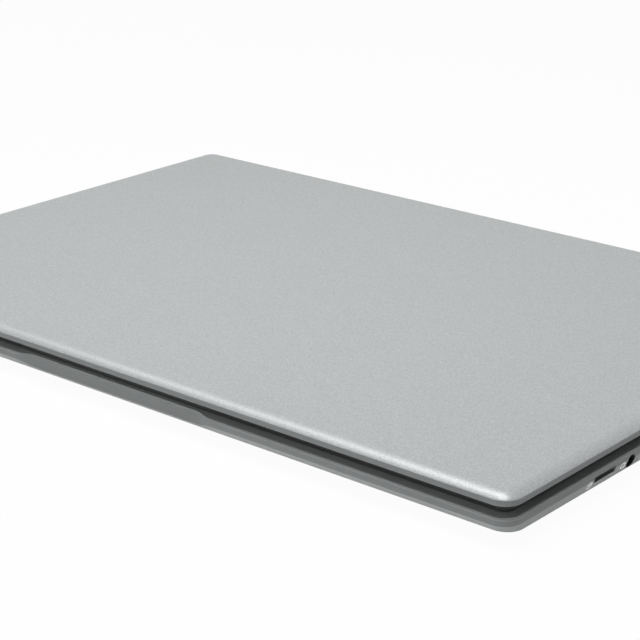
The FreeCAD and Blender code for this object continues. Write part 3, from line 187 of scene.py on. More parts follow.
def finish(name, effect, colour, roughness, metallic=0.0, scale=1500.0, contrast=0.1, cloud=0.02, spread=0.1,
           bump=0.02, coat=0.0, specular=0.5, glow=0.0):
    """Add a material to the looks; its colour, roughness and bump come from an effect group."""
    material = bpy.data.materials.new(name)
    material.use_nodes = True
    tree = material.node_tree
    shader = tree.nodes["Principled BSDF"]
    group = tree.nodes.new("ShaderNodeGroup")
    group.node_tree = effect
    values = {"Colour": (*colour, 1), "Scale": scale, "Contrast": contrast, "Cloud": cloud,
              "Roughness": roughness, "Roughness Spread": spread}
    for label, value in values.items():
        group.inputs[label].default_value = value
    lumps = place(tree, "ShaderNodeBump", Strength=bump, Distance=BUMP_DEPTH, Height=group.outputs["Height"])
    for source, label in ((group.outputs["Colour"], "Base Color"), (group.outputs["Roughness"], "Roughness"),
                          (lumps.outputs["Normal"], "Normal")):
        tree.links.new(source, shader.inputs[label])
    shader.inputs["Metallic"].default_value = metallic
    shader.inputs["Coat Weight"].default_value = coat
    shader.inputs["Specular IOR Level"].default_value = specular
    shader.inputs["Emission Color"].default_value = (*colour, 1)
    shader.inputs["Emission Strength"].default_value = glow
    look[name] = material


# %% [markdown]
# ## The finishes
# The lid, deck and bottom are the same light grey metal, each a little different in tone. The lid's side and
# the deck's upright faces get a darker copy of that metal as painted shade, the bevel a lighter copy as
# painted light from the floor, and the two thin lips at the seam lighter copies as painted highlights. The
# inside has dark plastic round the screen, black keycaps, rubber feet, and the usual boards, foils and steel.

# %% Outer finishes
finish("lid_metal", grain, (0.414, 0.430, 0.430), 0.40, 0.25, scale=2150, contrast=0.46, cloud=0.01,
       spread=0.05, bump=0.03, specular=0.1)
finish("deck_metal", grain, (0.365, 0.380, 0.380), 0.42, scale=2400, contrast=0.25, spread=0.05, bump=0.03,
       specular=0.2)
finish("bottom_metal", grain, (0.327, 0.342, 0.342), 0.42, scale=2400, contrast=0.25, spread=0.05, bump=0.03,
       specular=0.1)
finish("bezel_plastic", grain, (0.021, 0.0215, 0.0215), 0.55, scale=2600, contrast=0.2, bump=0.08,
       specular=0.3)
finish("hinge_cover_plastic", grain, (0.022, 0.023, 0.024), 0.5, scale=2200, contrast=0.2, bump=0.08)
finish("key_plastic", grain, (0.019, 0.020, 0.021), 0.52, scale=2400, contrast=0.2, spread=0.08, bump=0.06,
       specular=0.3)
finish("touchpad_glass", grain, (0.385, 0.40, 0.40), 0.3, scale=2200, contrast=0.08, spread=0.04, bump=0.01,
       coat=0.3)
finish("screen", grain, (0.005, 0.006, 0.008), 0.2, scale=900, contrast=0.05, spread=0.0, bump=0.0,
       specular=0.18)
finish("camera_glass", grain, (0.004, 0.004, 0.006), 0.06, scale=900, contrast=0.25, spread=0.02, bump=0.0,
       coat=0.8)
finish("rubber", grain, (0.028, 0.028, 0.029), 0.8, scale=2800, contrast=0.25, spread=0.08, bump=0.15)
finish("dark_plastic", grain, (0.014, 0.014, 0.015), 0.55, scale=2000, contrast=0.25, bump=0.06,
       specular=0.05)
print("outer finishes:", len(look))

# %% Finishes with painted shade and highlights for walls and thin edges, and print
# A darker copy of the metal is painted shade on upright walls; lighter copies are painted light on the bevel
# and painted highlights on the two lips.
edges = {"lid_side": ((0.325, 0.341, 0.341), 0.25), "bevel_metal": ((0.450, 0.468, 0.468), 0.2),
         "deck_lip": ((0.45, 0.468, 0.468), 0.2), "band_lip": ((0.60, 0.625, 0.625), 0.2)}
for name, (colour, contrast) in edges.items():
    finish(name, grain, colour, 0.42, scale=2400, contrast=contrast, specular=0.1)
finish("legend_ink", grain, (0.86, 0.87, 0.86), 0.6, scale=2600)
# The sign ink also glows a little: painted light that keeps the signs bright on the dim wall.
finish("sign_ink", grain, (0.9, 0.9, 0.88), 0.6, scale=2600, glow=0.6)
print("with edges and print:", len(look))

# %% Inner finishes
finish("backlight", grain, (0.75, 0.76, 0.76), 0.35, 0.1, scale=600, contrast=0.05)
finish("antenna_metal", brushed, (0.72, 0.66, 0.5), 0.35, 1.0, scale=900)
finish("steel", brushed, (0.36, 0.355, 0.345), 0.34, 1.0, scale=1200, contrast=0.12, bump=0.05)
finish("screw_steel", grain, (0.35, 0.35, 0.36), 0.35, 1.0, scale=1800, contrast=0.12)
finish("cable", brushed, (0.03, 0.03, 0.032), 0.5, scale=1500, contrast=0.3, bump=0.1)
finish("circuit_board", grain, (0.012, 0.05, 0.03), 0.4, scale=500, contrast=0.4, cloud=0.1, bump=0.1,
       coat=0.3)
finish("copper", brushed, (0.78, 0.38, 0.22), 0.32, 1.0, scale=700, contrast=0.12, cloud=0.06)
finish("battery_foil", grain, (0.05, 0.05, 0.055), 0.45, 0.2, scale=400, contrast=0.2, cloud=0.1, bump=0.2)
finish("inner_metal", brushed, (0.32, 0.32, 0.33), 0.4, 0.9, scale=1300, contrast=0.12)
slot_of = {entry["node"]: entry["material_slot"] for entry in frame["record"]["subparts"]}
for name, node in nodes.items():
    node.data.materials.clear()
    node.data.materials.append(look[slot_of[name]])
print("finishes:", len(look), "nodes with a slot:", len(slot_of))

# %% [markdown]
# ## Rings: one way to make every shell
# A shell with a rounded rim is a stack of outlines: the same outline drawn again and again, a little smaller
# and a little higher each time, with faces between neighbours. A bevel modifier could round a box as well,
# but a stack gives each rim exactly the profile that is wanted, and the corner radius shrinks with it. Each
# step of a profile below is a pair: how far the outline is moved in, and how high it lies.

# %% Outlines
def arc(cx, cy, radius, start, turn, steps):
    """Points along an arc, angles in degrees."""
    angles = [math.radians(start + turn * i / steps) for i in range(steps + 1)]
    return [(cx + radius * math.cos(a), cy + radius * math.sin(a)) for a in angles]


def circle(cx, cy, radius, sides=40):
    """Points round a circle, without the first one repeated."""
    return arc(cx, cy, radius, 0, 360 - 360 / sides, sides - 1)


def rounded_outline(x0, x1, y0, y1, radius, steps=12):
    """A rectangle with round corners, anticlockwise from the front right corner."""
    return (arc(x1 - radius, y0 + radius, radius, -90, 90, steps)
            + arc(x1 - radius, y1 - radius, radius, 0, 90, steps)
            + arc(x0 + radius, y1 - radius, radius, 90, 90, steps)
            + arc(x0 + radius, y0 + radius, radius, 180, 90, steps))


def inset_outline(low, high, inset, radius, steps=12, least=0.3):
    """A rounded rectangle moved in by the inset, or out where that is negative; its radius follows."""
    return rounded_outline(low[0] + inset, high[0] - inset, low[1] + inset, high[1] - inset,
                           max(radius - inset, least), steps)


def lift(outline, z):
    """Give a flat outline its height."""
    return [(x, y, z) for x, y in outline]


print("a square with round corners has", len(rounded_outline(-1, 1, -1, 1, 0.2)), "points")


# %% Rings and pieces
SHARP = 28


def add_stack(shape, rings, closed=False):
    """Skin rings of equal length; the ends get a cap unless the stack closes on itself."""
    loops = [[shape.verts.new((x * MM, y * MM, z * MM)) for x, y, z in ring] for ring in rings]
    pairs = list(zip(loops, loops[1:])) + ([(loops[-1], loops[0])] if closed else [])
    for low, high in pairs:
        for i in range(len(low)):
            j = (i + 1) % len(low)
            shape.faces.new((low[i], low[j], high[j], high[i]))
    if not closed:
        shape.faces.new(loops[0][::-1])
        shape.faces.new(loops[-1])


def crease(mesh, sharp):
    """Smooth faces, with edges above that many degrees kept sharp."""
    mesh.shade_smooth()
    mesh.set_sharp_from_angle(angle=math.radians(sharp))


def as_piece(name, shape, sharp=SHARP):
    """Turn a bmesh into an object with smooth faces and sharp creases."""
    bmesh.ops.recalc_face_normals(shape, faces=shape.faces)
    mesh = bpy.data.meshes.new(name)
    shape.to_mesh(mesh)
    shape.free()
    crease(mesh, sharp)
    piece = bpy.data.objects.new(name, mesh)
    bpy.context.scene.collection.objects.link(piece)
    return piece


def stack_piece(name, stacks, closed=False, sharp=SHARP):
    """One object from one or more stacks of rings."""
    shape = bmesh.new()
    for rings in stacks:
        add_stack(shape, rings, closed)
    return as_piece(name, shape, sharp)


# %% Cutting and dressing
def settled_mesh(thing):
    """The mesh of an object as it stands, with its modifiers applied."""
    bpy.context.view_layer.update()
    return bpy.data.meshes.new_from_object(thing.evaluated_get(bpy.context.evaluated_depsgraph_get()))


def carve(piece, tool, sharp=SHARP):
    """Cut the tool out of the piece for good, and throw the tool away."""
    cut = piece.modifiers.new("carve", "BOOLEAN")
    cut.operation, cut.object, cut.solver = "DIFFERENCE", tool, "EXACT"
    mesh = settled_mesh(piece)
    piece.modifiers.clear()
    piece.data = mesh
    crease(mesh, sharp)
    bpy.data.objects.remove(tool)


def dress(piece, body, slot, *replaced, skin=None):
    """Finish a piece: its look, the body it rides on, its slot, and the CAD nodes it stands for."""
    piece.data.materials.clear()
    piece.data.materials.append(look[skin or slot])
    flat = piece.modifiers.new("even_normals", "WEIGHTED_NORMAL")
    flat.keep_sharp, flat.weight = True, 60
    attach(piece, body)
    if replaced:
        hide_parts(*replaced)
    print(piece.name, "faces:", len(piece.data.polygons), "rides on", body)


def paint(piece, skin, chosen):
    """Give the faces that pass a test a look of their own."""
    piece.data.materials.append(look[skin])
    for face in piece.data.polygons:
        if chosen(face):
            face.material_index = len(piece.data.materials) - 1


def tilted(face, least, most):
    """True where the upward part of a face's normal lies between two values."""
    return least < face.normal.z < most


def upright(face):
    return tilted(face, -0.3, 0.3)


# %% [markdown]
# ## Lid cover
# The lid is a pressed sheet: a flat top that rolls over in a soft round crown and then drops in a short
# upright side. The crown stops at a crisp crease above that side, so the profile has only a tiny round there.

# %% Lid cover
lid_low, lid_high = box_mm("lid_cover")
SIDE, FRONT, REAR = lid_high.x, lid_low.y, lid_high.y
RIM, TOP, CORNER = lid_low.z, lid_high.z, 6.2
SHEET, WALL, CROWN, CROWN_WIDTH = 1.2, 1.6, 7.4, 4.7


def lid_ring(inset, z):
    return lift(inset_outline((-SIDE, FRONT), (SIDE, REAR), inset, CORNER, 14, 0.6), z)


def crown_height(inset):
    """The height of the round crown at an inset from the lid's side."""
    return TOP - CROWN + math.sqrt(CROWN ** 2 - (CROWN_WIDTH - inset) ** 2)


CREASE = crown_height(0)
profile = [(WALL, TOP - SHEET), (WALL, RIM + 0.25), (WALL - 0.1, RIM), (0.14, RIM), (0.04, RIM + 0.04),
           (0, RIM + 0.14), (0, CREASE - 0.11), (0.03, CREASE - 0.02)]
profile += [(i, crown_height(i)) for i in (0.1, 0.3, 0.6, 1.0, 1.5, 2.0, 2.6, 3.2, 3.8, 4.3, CROWN_WIDTH)]
profile += [(CROWN_WIDTH + 0.7, TOP)]
lid = stack_piece("lid_shell", [[lid_ring(*step) for step in profile]])
dress(lid, "lid", "lid_metal", "lid_cover")
# The upright side gets a darker copy of the lid metal: painted shade.
paint(lid, "lid_side", lambda face: upright(face) and face.center.z < CREASE * MM)

# %% [markdown]
# ## The finger scoop
# In the middle of the front edge the base steps back so that a finger can lift the lid. The step is two
# arcs that meet in an S at each end. Offsetting a curve by hand is easy when it is made of arcs: the
# arc that bulges out gets a smaller radius and the arc that bulges in gets a larger one.

# %% A tool that cuts the scoop
SCOOP_HALF, SCOOP_BLEND, SCOOP_DEPTH = 38.75, 9.6, 1.6
SCOOP_RADIUS = (SCOOP_BLEND ** 2 + SCOOP_DEPTH ** 2) / (4 * SCOOP_DEPTH)
SCOOP_SWING = math.degrees(2 * math.atan2(SCOOP_DEPTH, SCOOP_BLEND))


def scoop_edge(inset, steps=10):
    """The scoop from left to right, moved inward by the inset."""
    outer, inner = SCOOP_RADIUS - inset, SCOOP_RADIUS + inset
    left = arc(-SCOOP_HALF - SCOOP_BLEND, FRONT + SCOOP_RADIUS, outer, -90, SCOOP_SWING, steps)
    left += arc(-SCOOP_HALF, FRONT + SCOOP_DEPTH - SCOOP_RADIUS, inner, 90 + SCOOP_SWING, -SCOOP_SWING,
                steps)[1:]
    return left + [(-x, y) for x, y in left[::-1]]


def scoop_tool(steps):
    """The space in front of the scoop, upright, with its edge moved in by the inset of each step."""
    half, mouth_half = 60, 48
    far, near = FRONT - 6, FRONT - 0.4
    front = [(-half, far), (half, far), (mouth_half, near)]
    return stack_piece("scoop_tool", [[
        lift(front + scoop_edge(inset)[::-1] + [(-mouth_half, near)], z) for inset, z in steps]])


print("scoop arcs:", round(SCOOP_RADIUS, 2), "mm radius,", round(SCOOP_SWING, 1), "degrees each")

# %% [markdown]
# ## Deck
# The deck is the plate that carries the keyboard. Its rim slopes down to the outside, first gently and then
# steeply, which makes the dark strip between lid and base. The scoop cuts straight down through that rim.
# The key openings and the touchpad opening are cut by one tool of many small wells, whose walls flare at the
# top so that each edge gets a fine chamfer.

# %% Read the places of separate solids from the CAD model
def solids(name):
    """The box of each separate solid in a CAD node, in millimetres."""
    shape = bmesh.new()
    shape.from_mesh(nodes[name].data)
    bmesh.ops.remove_doubles(shape, verts=shape.verts, dist=1e-6)
    seen, boxes = set(), []
    for start in shape.verts:
        if start in seen:
            continue
        seen.add(start)
        group, todo = [], [start]
        while todo:
            vert = todo.pop()
            group.append(vert.co / MM)
            beyond = [edge.other_vert(vert) for edge in vert.link_edges]
            fresh = [other for other in beyond if other not in seen]
            seen.update(fresh)
            todo.extend(fresh)
        boxes.append(tuple([pick(p[i] for p in group) for i in range(3)] for pick in (min, max)))
    shape.free()
    return sorted(boxes)


key_nodes = sorted(name for name in nodes if name.endswith(("_key", "_keys")) or name == "space_bar")
key_boxes = {name: solids(name) for name in key_nodes}
print("key nodes:", len(key_nodes), "keycaps:", sum(len(boxes) for boxes in key_boxes.values()))

# %% Deck plate
base_high = box_mm("bottom_cover")[1]
BASE_REAR, PARTING, DECK = base_high.y, base_high.z, box_mm("top_case")[1].z
GAP, SEAM, LIP_LOW, LIP_HIGH, DECK_SHARP = 0.01, 7.72, 8.12, 8.38, 24
BASE_PLAN = (-SIDE, FRONT), (SIDE, BASE_REAR)
HOLLOW_PLAN, HOLLOW_CORNER, DECK_PLAY = ((-163, -108.85), (163, 103.6)), 5.0, 0.2
inner_edge = inset_outline(*HOLLOW_PLAN, DECK_PLAY, HOLLOW_CORNER)
deck_profile = [(0.14, SEAM + GAP), (0.06, SEAM + 0.05), (0.04, SEAM + 0.1), (0.04, LIP_LOW), (0.10, 8.22),
                (0.36, 8.34), (0.50, LIP_HIGH), (2.55, 9.00), (2.75, 9.045), (3.0, DECK)]
deck = stack_piece("deck_plate", [[lift(inner_edge, z) for z in (PARTING + GAP, SEAM + GAP)] + [
    lift(inset_outline(*BASE_PLAN, inset, CORNER), z) for inset, z in deck_profile]], sharp=DECK_SHARP)
carve(deck, scoop_tool(((0, PARTING - 1), (0, 8.7), (0.1, DECK + 0.15))), DECK_SHARP)
print("deck plate before its openings:", len(deck.data.polygons), "faces")

# %% Openings in the deck
KEY_GAP, KEY_CORNER, PAD_CORNER, NOTCH_CORNER, NOTCH_REAR = 0.4, 1.6, 2.4, 0.5, 120
HINGE_NOTCHES = ((-124.6, -113.4, 96.9), (113.4, 124.6, 96.9))
CABLE_NOTCH = (-110.3, -104.7, 101.8)


def well(low, high, radius, flare=0.2):
    """A cutting tool for one opening, wider above the deck."""
    steps = ((0, PARTING - 1), (0, DECK - flare), (2 * flare, DECK + flare))
    return [lift(inset_outline(low, high, -out, radius, 5), z) for out, z in steps]


def widened(low, high, gap):
    return (low[0] - gap, low[1] - gap), (high[0] + gap, high[1] + gap)


pad_low, pad_high = box_mm("touchpad")
wells = [well(*widened(a, b, KEY_GAP), KEY_CORNER) for boxes in key_boxes.values() for a, b in boxes]
wells.append(well(*widened(pad_low, pad_high, KEY_GAP), PAD_CORNER))
wells += [well((left, front), (right, NOTCH_REAR), NOTCH_CORNER)
          for left, right, front in (*HINGE_NOTCHES, CABLE_NOTCH)]
carve(deck, stack_piece("deck_wells", wells), DECK_SHARP)
dress(deck, "base", "deck_metal", "top_case")
# The deck's upright faces above the seam, the scoop wall and the walls of the openings among them, get the
# same darker copy: painted shade.
paint(deck, "lid_side", lambda face: upright(face) and face.center.z > SEAM * MM)
# The deck's lip faces get a lighter copy of the metal: a painted highlight along the edge.
paint(deck, "deck_lip", lambda face: tilted(face, 0.4, 0.97)
      and (LIP_LOW + GAP) * MM < face.center.z < (LIP_HIGH - GAP) * MM)

# %% [markdown]
# ## Bottom cover
# The bottom is a tray with an upright band, a bevel below the band and a nearly flat underside that rises to
# the front. The bevel is steep at the sides, half way over at the front and absent at the rear, so each point
# of a ring finds its own height on the sloping underside. The scoop, the sockets, the foot seats, the screw
# seats and the speaker slots are then carved out.

# %% Bottom cover tray
BAND_FOOT, BEVEL_DROP, BEVEL_SIDE, BEVEL_FRONT = 5.6, 3.1, 1.2, 3.05
UNDER_FRONT, UNDER_REAR, FLOOR_SHEET = 2.5, 1.2, 0.9
LIP_INSET, LIP_DROP = 0.24, 0.29


def underside(y):
    """The height of the sloping underside."""
    return UNDER_FRONT + (UNDER_REAR - UNDER_FRONT) * (y - FRONT) / (REAR - FRONT)


def bevel_outline(t):
    """The outline at a share of the full bevel: moved in at the sides and the front, and not at the rear."""
    side, front = SIDE - BEVEL_SIDE * t, FRONT + BEVEL_FRONT * t
    return rounded_outline(-side, side, front, BASE_REAR, CORNER)


def bevel_ring(share):
    """The bevel at a share of the way from the band's foot to the underside, point by point."""
    ring = []
    for i in range(len(bevel_outline(0))):
        t = 1.0
        for _ in range(6):
            t = (BAND_FOOT - underside(bevel_outline(t)[i][1])) / BEVEL_DROP
        x, y = bevel_outline(t * share)[i]
        ring.append((x, y, BAND_FOOT - BEVEL_DROP * t * share))
    return ring


def shrink(ring, amount):
    """Move a ring toward the middle, with its height on the underside."""
    out = []
    for x, y, _ in ring:
        nx = x - math.copysign(min(amount, abs(x)), x)
        ny = y - math.copysign(min(amount, abs(y)), y)
        out.append((nx, ny, underside(ny)))
    return out


foot_ring = bevel_ring(1.0)
band, lip = (inset_outline(*BASE_PLAN, inset, CORNER) for inset in (0, LIP_INSET))
hollow = inset_outline(*HOLLOW_PLAN, 0, HOLLOW_CORNER)
tray = stack_piece("bottom_tray", [[
    shrink(foot_ring, 0.9), shrink(foot_ring, 0.05), bevel_ring(0.985), bevel_ring(0.03),
    lift(band, BAND_FOOT + 0.06), lift(band, SEAM - LIP_DROP), lift(lip, SEAM - GAP),
    lift(hollow, SEAM - GAP), [(x, y, underside(y) + FLOOR_SHEET) for x, y in hollow]]])
carve(tray, scoop_tool(((0, 0), (0, SEAM - LIP_INSET), (0.3, SEAM + 0.1))))
print("tray before its openings:", len(tray.data.polygons), "faces")

# %% Openings in the tray
COLLAR, COLLAR_RADIUS, COLLAR_HOLE = (-45.9, 4.5), 2.32, 2.34
CARD_SLOT = (-61.3, 5.39, 6.0, 0.95)
LEFT_SOCKETS, LEFT_SOCKET_Z, LEFT_SOCKET_HALF = ((42.6, 4.75), (60.6, 4.75), (20.6, 5.95)), 5.2, 1.85
SCREW_SEAT, SCREW_SEAT_DEPTH, FOOT_SEAT, FOOT_SEAT_DEPTH = 1.8, 0.7, 6.15, 0.3
SLOT_HALF, SLOT_CORNER, SLOT_FRONT, SLOT_REAR, SLOT_DEPTH = 0.45, 0.44, -105.55, -95.55, 2.5
FIRST_SLOT, SLOT_STEP, SLOTS = 111, 5, 8


def wall_tool(x, y, z, half_y, half_z, side, flare=0.15, roundness=0.98):
    """A slot through a side wall, flared at the outer face; side is 1 for right and -1 for left."""
    inside, outside = 4, 1.5
    radius = min(half_y, half_z) * roundness
    rings = []
    for depth, out in ((-inside, 0), (-flare, 0), (outside, flare + outside)):
        flat = inset_outline((y - half_y, z - half_z), (y + half_y, z + half_z), -out, radius, 8)
        rings.append([(x + side * depth, a, b) for a, b in flat])
    return rings


def floor_tool(outline, depth):
    """A seat or slot in the underside, as deep as given."""
    return [[(x, y, underside(y) + rise) for x, y in outline] for rise in (-1.0, depth)]


def middle(low, high):
    """The middle of a box, seen from above."""
    return (low[0] + high[0]) / 2, (low[1] + high[1]) / 2


screws = solids("bottom_screws")
feet = {row: solids(row + "_feet") for row in ("front", "rear")}
tools = [wall_tool(SIDE, *CARD_SLOT, 1, flare=0.05, roundness=0.6),
         wall_tool(SIDE, *COLLAR, COLLAR_HOLE, COLLAR_HOLE, 1, flare=0.02)]
tools += [wall_tool(-SIDE, y, LEFT_SOCKET_Z, half, LEFT_SOCKET_HALF, -1) for y, half in LEFT_SOCKETS]
tools += [floor_tool(circle(*middle(a, b), SCREW_SEAT, 24), SCREW_SEAT_DEPTH) for a, b in screws]
tools += [floor_tool(circle(*middle(a, b), FOOT_SEAT), FOOT_SEAT_DEPTH)
          for pair in feet.values() for a, b in pair]
slot_places = [side * (FIRST_SLOT + SLOT_STEP * i) for side in (1, -1) for i in range(SLOTS)]
tools += [floor_tool(rounded_outline(x - SLOT_HALF, x + SLOT_HALF, SLOT_FRONT, SLOT_REAR, SLOT_CORNER, 6),
                     SLOT_DEPTH) for x in slot_places]
carve(tray, stack_piece("tray_openings", tools))
dress(tray, "base", "bottom_metal", "bottom_cover")
# The tray's lip gets a lighter copy of the metal: a painted highlight along the seam.
paint(tray, "band_lip", lambda face: tilted(face, 0.3, 0.95) and face.center.z > (SEAM - LIP_DROP - GAP) * MM)
# The bevel gets a lighter copy of the bottom metal: painted light from the floor below.
paint(tray, "bevel_metal", lambda face: tilted(face, -0.97, -0.15) and face.center.z < BAND_FOOT * MM)

# %% [markdown]
# ## Headphone collar
# The round socket sits in a black moulded collar that fills a hole in the band and in the bevel below it, so
# each point of the collar's face is set back to the wall at its own height.

# %% Headphone collar
JACK, JACK_RADIUS, COLLAR_BACK = (-46.0, 4.7), 1.76, 162.75
FUNNEL, FUNNEL_RADIUS = (-45.95, 4.64), 2.0


def wall_face(z):
    """How far out the right wall is at a height: upright above the band's foot, sloping below."""
    return SIDE - max(BAND_FOOT - z, 0) * BEVEL_SIDE / BEVEL_DROP


def collar_ring(centre, radius, sink=None):
    """A round of the collar: sunk that far into the wall, or else at the collar's back."""
    return [(COLLAR_BACK if sink is None else wall_face(z) - sink, y, z)
            for y, z in circle(*centre, radius, 48)]


collar = stack_piece("headphone_collar", [[
    collar_ring(COLLAR, COLLAR_RADIUS), collar_ring(COLLAR, COLLAR_RADIUS, 0.12),
    collar_ring(COLLAR, COLLAR_RADIUS - 0.08, 0.05), collar_ring(FUNNEL, FUNNEL_RADIUS, 0.12),
    collar_ring(JACK, JACK_RADIUS, 0.5), collar_ring(JACK, JACK_RADIUS)]], closed=True)
dress(collar, "base", "dark_plastic")

# %% [markdown]
# ## Printed signs
# Two small white signs are printed beside the sockets: a headphone arch and a memory card. Ink has no
# thickness worth speaking of, so each stroke is a flat strip that lies 0.02 millimetre off the wall.

# %% Signs beside the sockets
INK_GAP, SIGN_LINE, CUP_LINE, CARD_LINE, CARD_BAR = 0.02, 0.26, 0.5, 0.18, 0.2


def stroke(points, width):
    """The outline of a line of that width through flat points, with square ends."""
    left, right = [], []
    for i, (u, v) in enumerate(points):
        (u0, v0), (u1, v1) = points[max(i - 1, 0)], points[min(i + 1, len(points) - 1)]
        length = math.hypot(u1 - u0, v1 - v0)
        du, dv = -(v1 - v0) / length * width / 2, (u1 - u0) / length * width / 2
        left.append((u + du, v + dv))
        right.append((u - du, v - dv))
    return left + right[::-1]


def flat_print(name, outlines, put):
    """Filled outlines; put gives the place in millimetres of each flat point."""
    shape = bmesh.new()
    for outline in outlines:
        shape.faces.new([shape.verts.new([along * MM for along in put(u, v)]) for u, v in outline])
    bmesh.ops.triangulate(shape, faces=shape.faces)
    return as_piece(name, shape)


arch = stroke([(-1.2, -0.3)] + arc(0, -0.1, 1.2, 180, -180, 12) + [(1.2, -0.3)], SIGN_LINE)
boom = stroke([(0.85, -0.85), (0.5, -1.0), (0.1, -1.05)], SIGN_LINE)
cups = [stroke([(-1.05, -0.15), (-0.85, -0.85)], CUP_LINE), stroke([(1.1, -0.15), (0.85, -0.85)], CUP_LINE)]
card_edge = [(-1.05, -1.1), (-1.05, 0.95), (0.6, 0.95), (1.05, 0.5), (1.05, -1.1), (-1.05, -1.1)]
card = [stroke(pair, CARD_LINE) for pair in zip(card_edge, card_edge[1:])]
card.append(stroke([(-1.0, 0.05), (1.0, 0.05)], CARD_BAR))
signs = (("headphone_sign", [arch, boom] + cups, -50.55, 4.5), ("card_sign", card, -69.4, 4.5))
for name, outlines, y, z in signs:
    sign = flat_print(name, outlines, lambda u, v: (wall_face(z + v) + INK_GAP, y + u, z + v))
    # The ink glows faintly: painted light.
    dress(sign, "base", "bottom_metal", skin="sign_ink")

# %% [markdown]
# ## Screen surround
# The surround is a thin black frame that stands below the lid's rim, so it shows as the dark line round the
# closed laptop. Its face is a ring from the outer edge to the screen window, with soft edges on both, and a
# low bead runs along the outer edge.

# %% Screen surround
bezel_low, bezel_high = box_mm("display_bezel")
window_low, window_high = Vector((-156, -98.15)), Vector((156, 77.45))
PANEL, BACK, FACE = box_mm("lcd_panel")[0].z - GAP, RIM + 0.35, bezel_low.z
BEAD, BEZEL_CORNER, WINDOW_CORNER, BEZEL_WALL, EYE_PLAY = FACE - 0.15, 3.5, 0.8, 1.2, 0.1


def frame_ring(low, high, inset, z, radius):
    return lift(inset_outline(low, high, inset, radius, 8), z)


outer = [(0, BACK), (0, BEAD + 0.3), (0.06, BEAD + 0.09), (0.25, BEAD), (1.0, BEAD), (1.25, FACE)]
inner = [(-0.3, FACE), (-0.05, FACE + 0.15), (0, PANEL)]
behind = [(BEZEL_WALL, PANEL), (BEZEL_WALL, BACK)]
surround = stack_piece("screen_surround", [
    [frame_ring(bezel_low, bezel_high, *step, BEZEL_CORNER) for step in outer]
    + [frame_ring(window_low, window_high, *step, WINDOW_CORNER) for step in inner]
    + [frame_ring(bezel_low, bezel_high, *step, BEZEL_CORNER) for step in behind]], closed=True)
eye_low, eye_high = box_mm("camera_window")
eye_rim = circle(*middle(eye_low, eye_high), (eye_high.x - eye_low.x) / 2 + EYE_PLAY)
carve(surround, stack_piece("eye_hole", [[lift(eye_rim, z) for z in (FACE - 1, PANEL + 1)]]))
dress(surround, "lid", "bezel_plastic", "display_bezel")

# %% [markdown]
# ## Camera window, bumpers and hinge cover
# These are small mouldings on the lid. The window is a glass disc with a sunk ring and a low dome, the
# bumpers are domes of rubber that touch the deck, and the hinge cover is a half round barrel with a riser.

# %% Camera window and bumpers
EYE_STEPS = ((1, 0.07), (0.96, 0), (0.66, 0), (0.6, 0.12), (0.45, 0.06), (0.25, 0.03), (0.1, 0.02))
DOME_STEPS = ((1, 0.22), (0.93, 0.1), (0.75, 0.03), (0.5, 0))


def button(low, high, steps):
    """Rings of a round button that faces down: shares of its radius, and rises above its lowest point."""
    radius = (high[0] - low[0]) / 2
    heights = [(1, high[2])] + [(share, low[2] + rise) for share, rise in steps]
    return [lift(circle(*middle(low, high), radius * share), z) for share, z in heights]


eye = stack_piece("camera_eye", [button(eye_low, eye_high, EYE_STEPS)])
dress(eye, "lid", "camera_glass", "camera_window")
bumpers = stack_piece("bumper_domes", [button(a, b, DOME_STEPS) for a, b in solids("lid_bumpers")])
dress(bumpers, "lid", "rubber", "lid_bumpers")

# %% Hinge cover
cover_low, cover_high = box_mm("hinge_cover")
BARREL = (cover_high.y - cover_low.y) / 2
HINGE_LINE = (cover_low.y + BARREL, cover_low.z + BARREL)
TUNNEL_RADIUS, TUNNEL_DEPTH = 1.2, 45.3


def across(x, section):
    """Stand a flat section up across the hinge line."""
    return [(x, y, z) for y, z in section]


def barrel_ring(x, inset):
    """The barrel's half round with its riser, made smaller by the inset."""
    half, (y, z) = BARREL - inset, HINGE_LINE
    return across(x, arc(y, z, half, 0, -180, 24) + [(y - half, cover_high.z), (y + half, cover_high.z)])


cover_boxes = solids("hinge_cover")
end_steps = ((0, 0.35), (0.1, 0.13), (0.35, 0))
barrels = [[barrel_ring(a[0] + along, inset) for along, inset in end_steps]
           + [barrel_ring(b[0] - along, inset) for along, inset in end_steps[::-1]] for a, b in cover_boxes]
cover = stack_piece("hinge_barrels", barrels)
bay = cover_boxes[1][0][0]
carve(cover, stack_piece("cable_tunnel", [[across(x, circle(*HINGE_LINE, TUNNEL_RADIUS, 24))
                                           for x in (bay - 1, bay + TUNNEL_DEPTH)]]))
dress(cover, "lid", "hinge_cover_plastic", "hinge_cover")

# %% [markdown]
# ## Keycaps
# Each cap is a low block with rounded corners, a soft shoulder and a shallow dish that guides the finger.
# Below it is hollow, so that a pressed cap closes over its rubber dome and doesn't cut into it.
# The same ring stack makes all of them, from the boxes that were read from the CAD model.

# %% Keycaps
CAP_WALL, CAP_HOLLOW, CAP_CORNER, CAP_SHARP = 1.5, 0.9, 1.3, 40


def keycap(a, b):
    """Rings of one cap, from the roof of its hollow around the foot to the middle of its dish."""
    low, top = a[2], b[2]
    steps = ((CAP_WALL, low + CAP_HOLLOW), (CAP_WALL, low), (0.10, low), (0, low + 0.15), (0.05, top - 0.42),
             (0.12, top - 0.2), (0.28, top - 0.06), (0.5, top), (0.9, top - 0.03), (1.3, top - 0.05),
             (1.7, top - 0.06))
    return [lift(rounded_outline(a[0] + inset, b[0] - inset, a[1] + inset, b[1] - inset,
                                 max(CAP_CORNER - inset * 0.4, 0.3), 6), z) for inset, z in steps]


for name, boxes in key_boxes.items():
    caps = stack_piece(name.replace("_keys", "_caps").replace("_key", "_cap") + "_top",
                       [keycap(a, b) for a, b in boxes], sharp=CAP_SHARP)
    dress(caps, name, "key_plastic", name)

# %% [markdown]
# ## Key legends
# The keys carry plain letters, numbers and arrows. A text object draws letters from Blender's own font;
# its mesh is collected for each row, so that the print moves with the keys it is on.

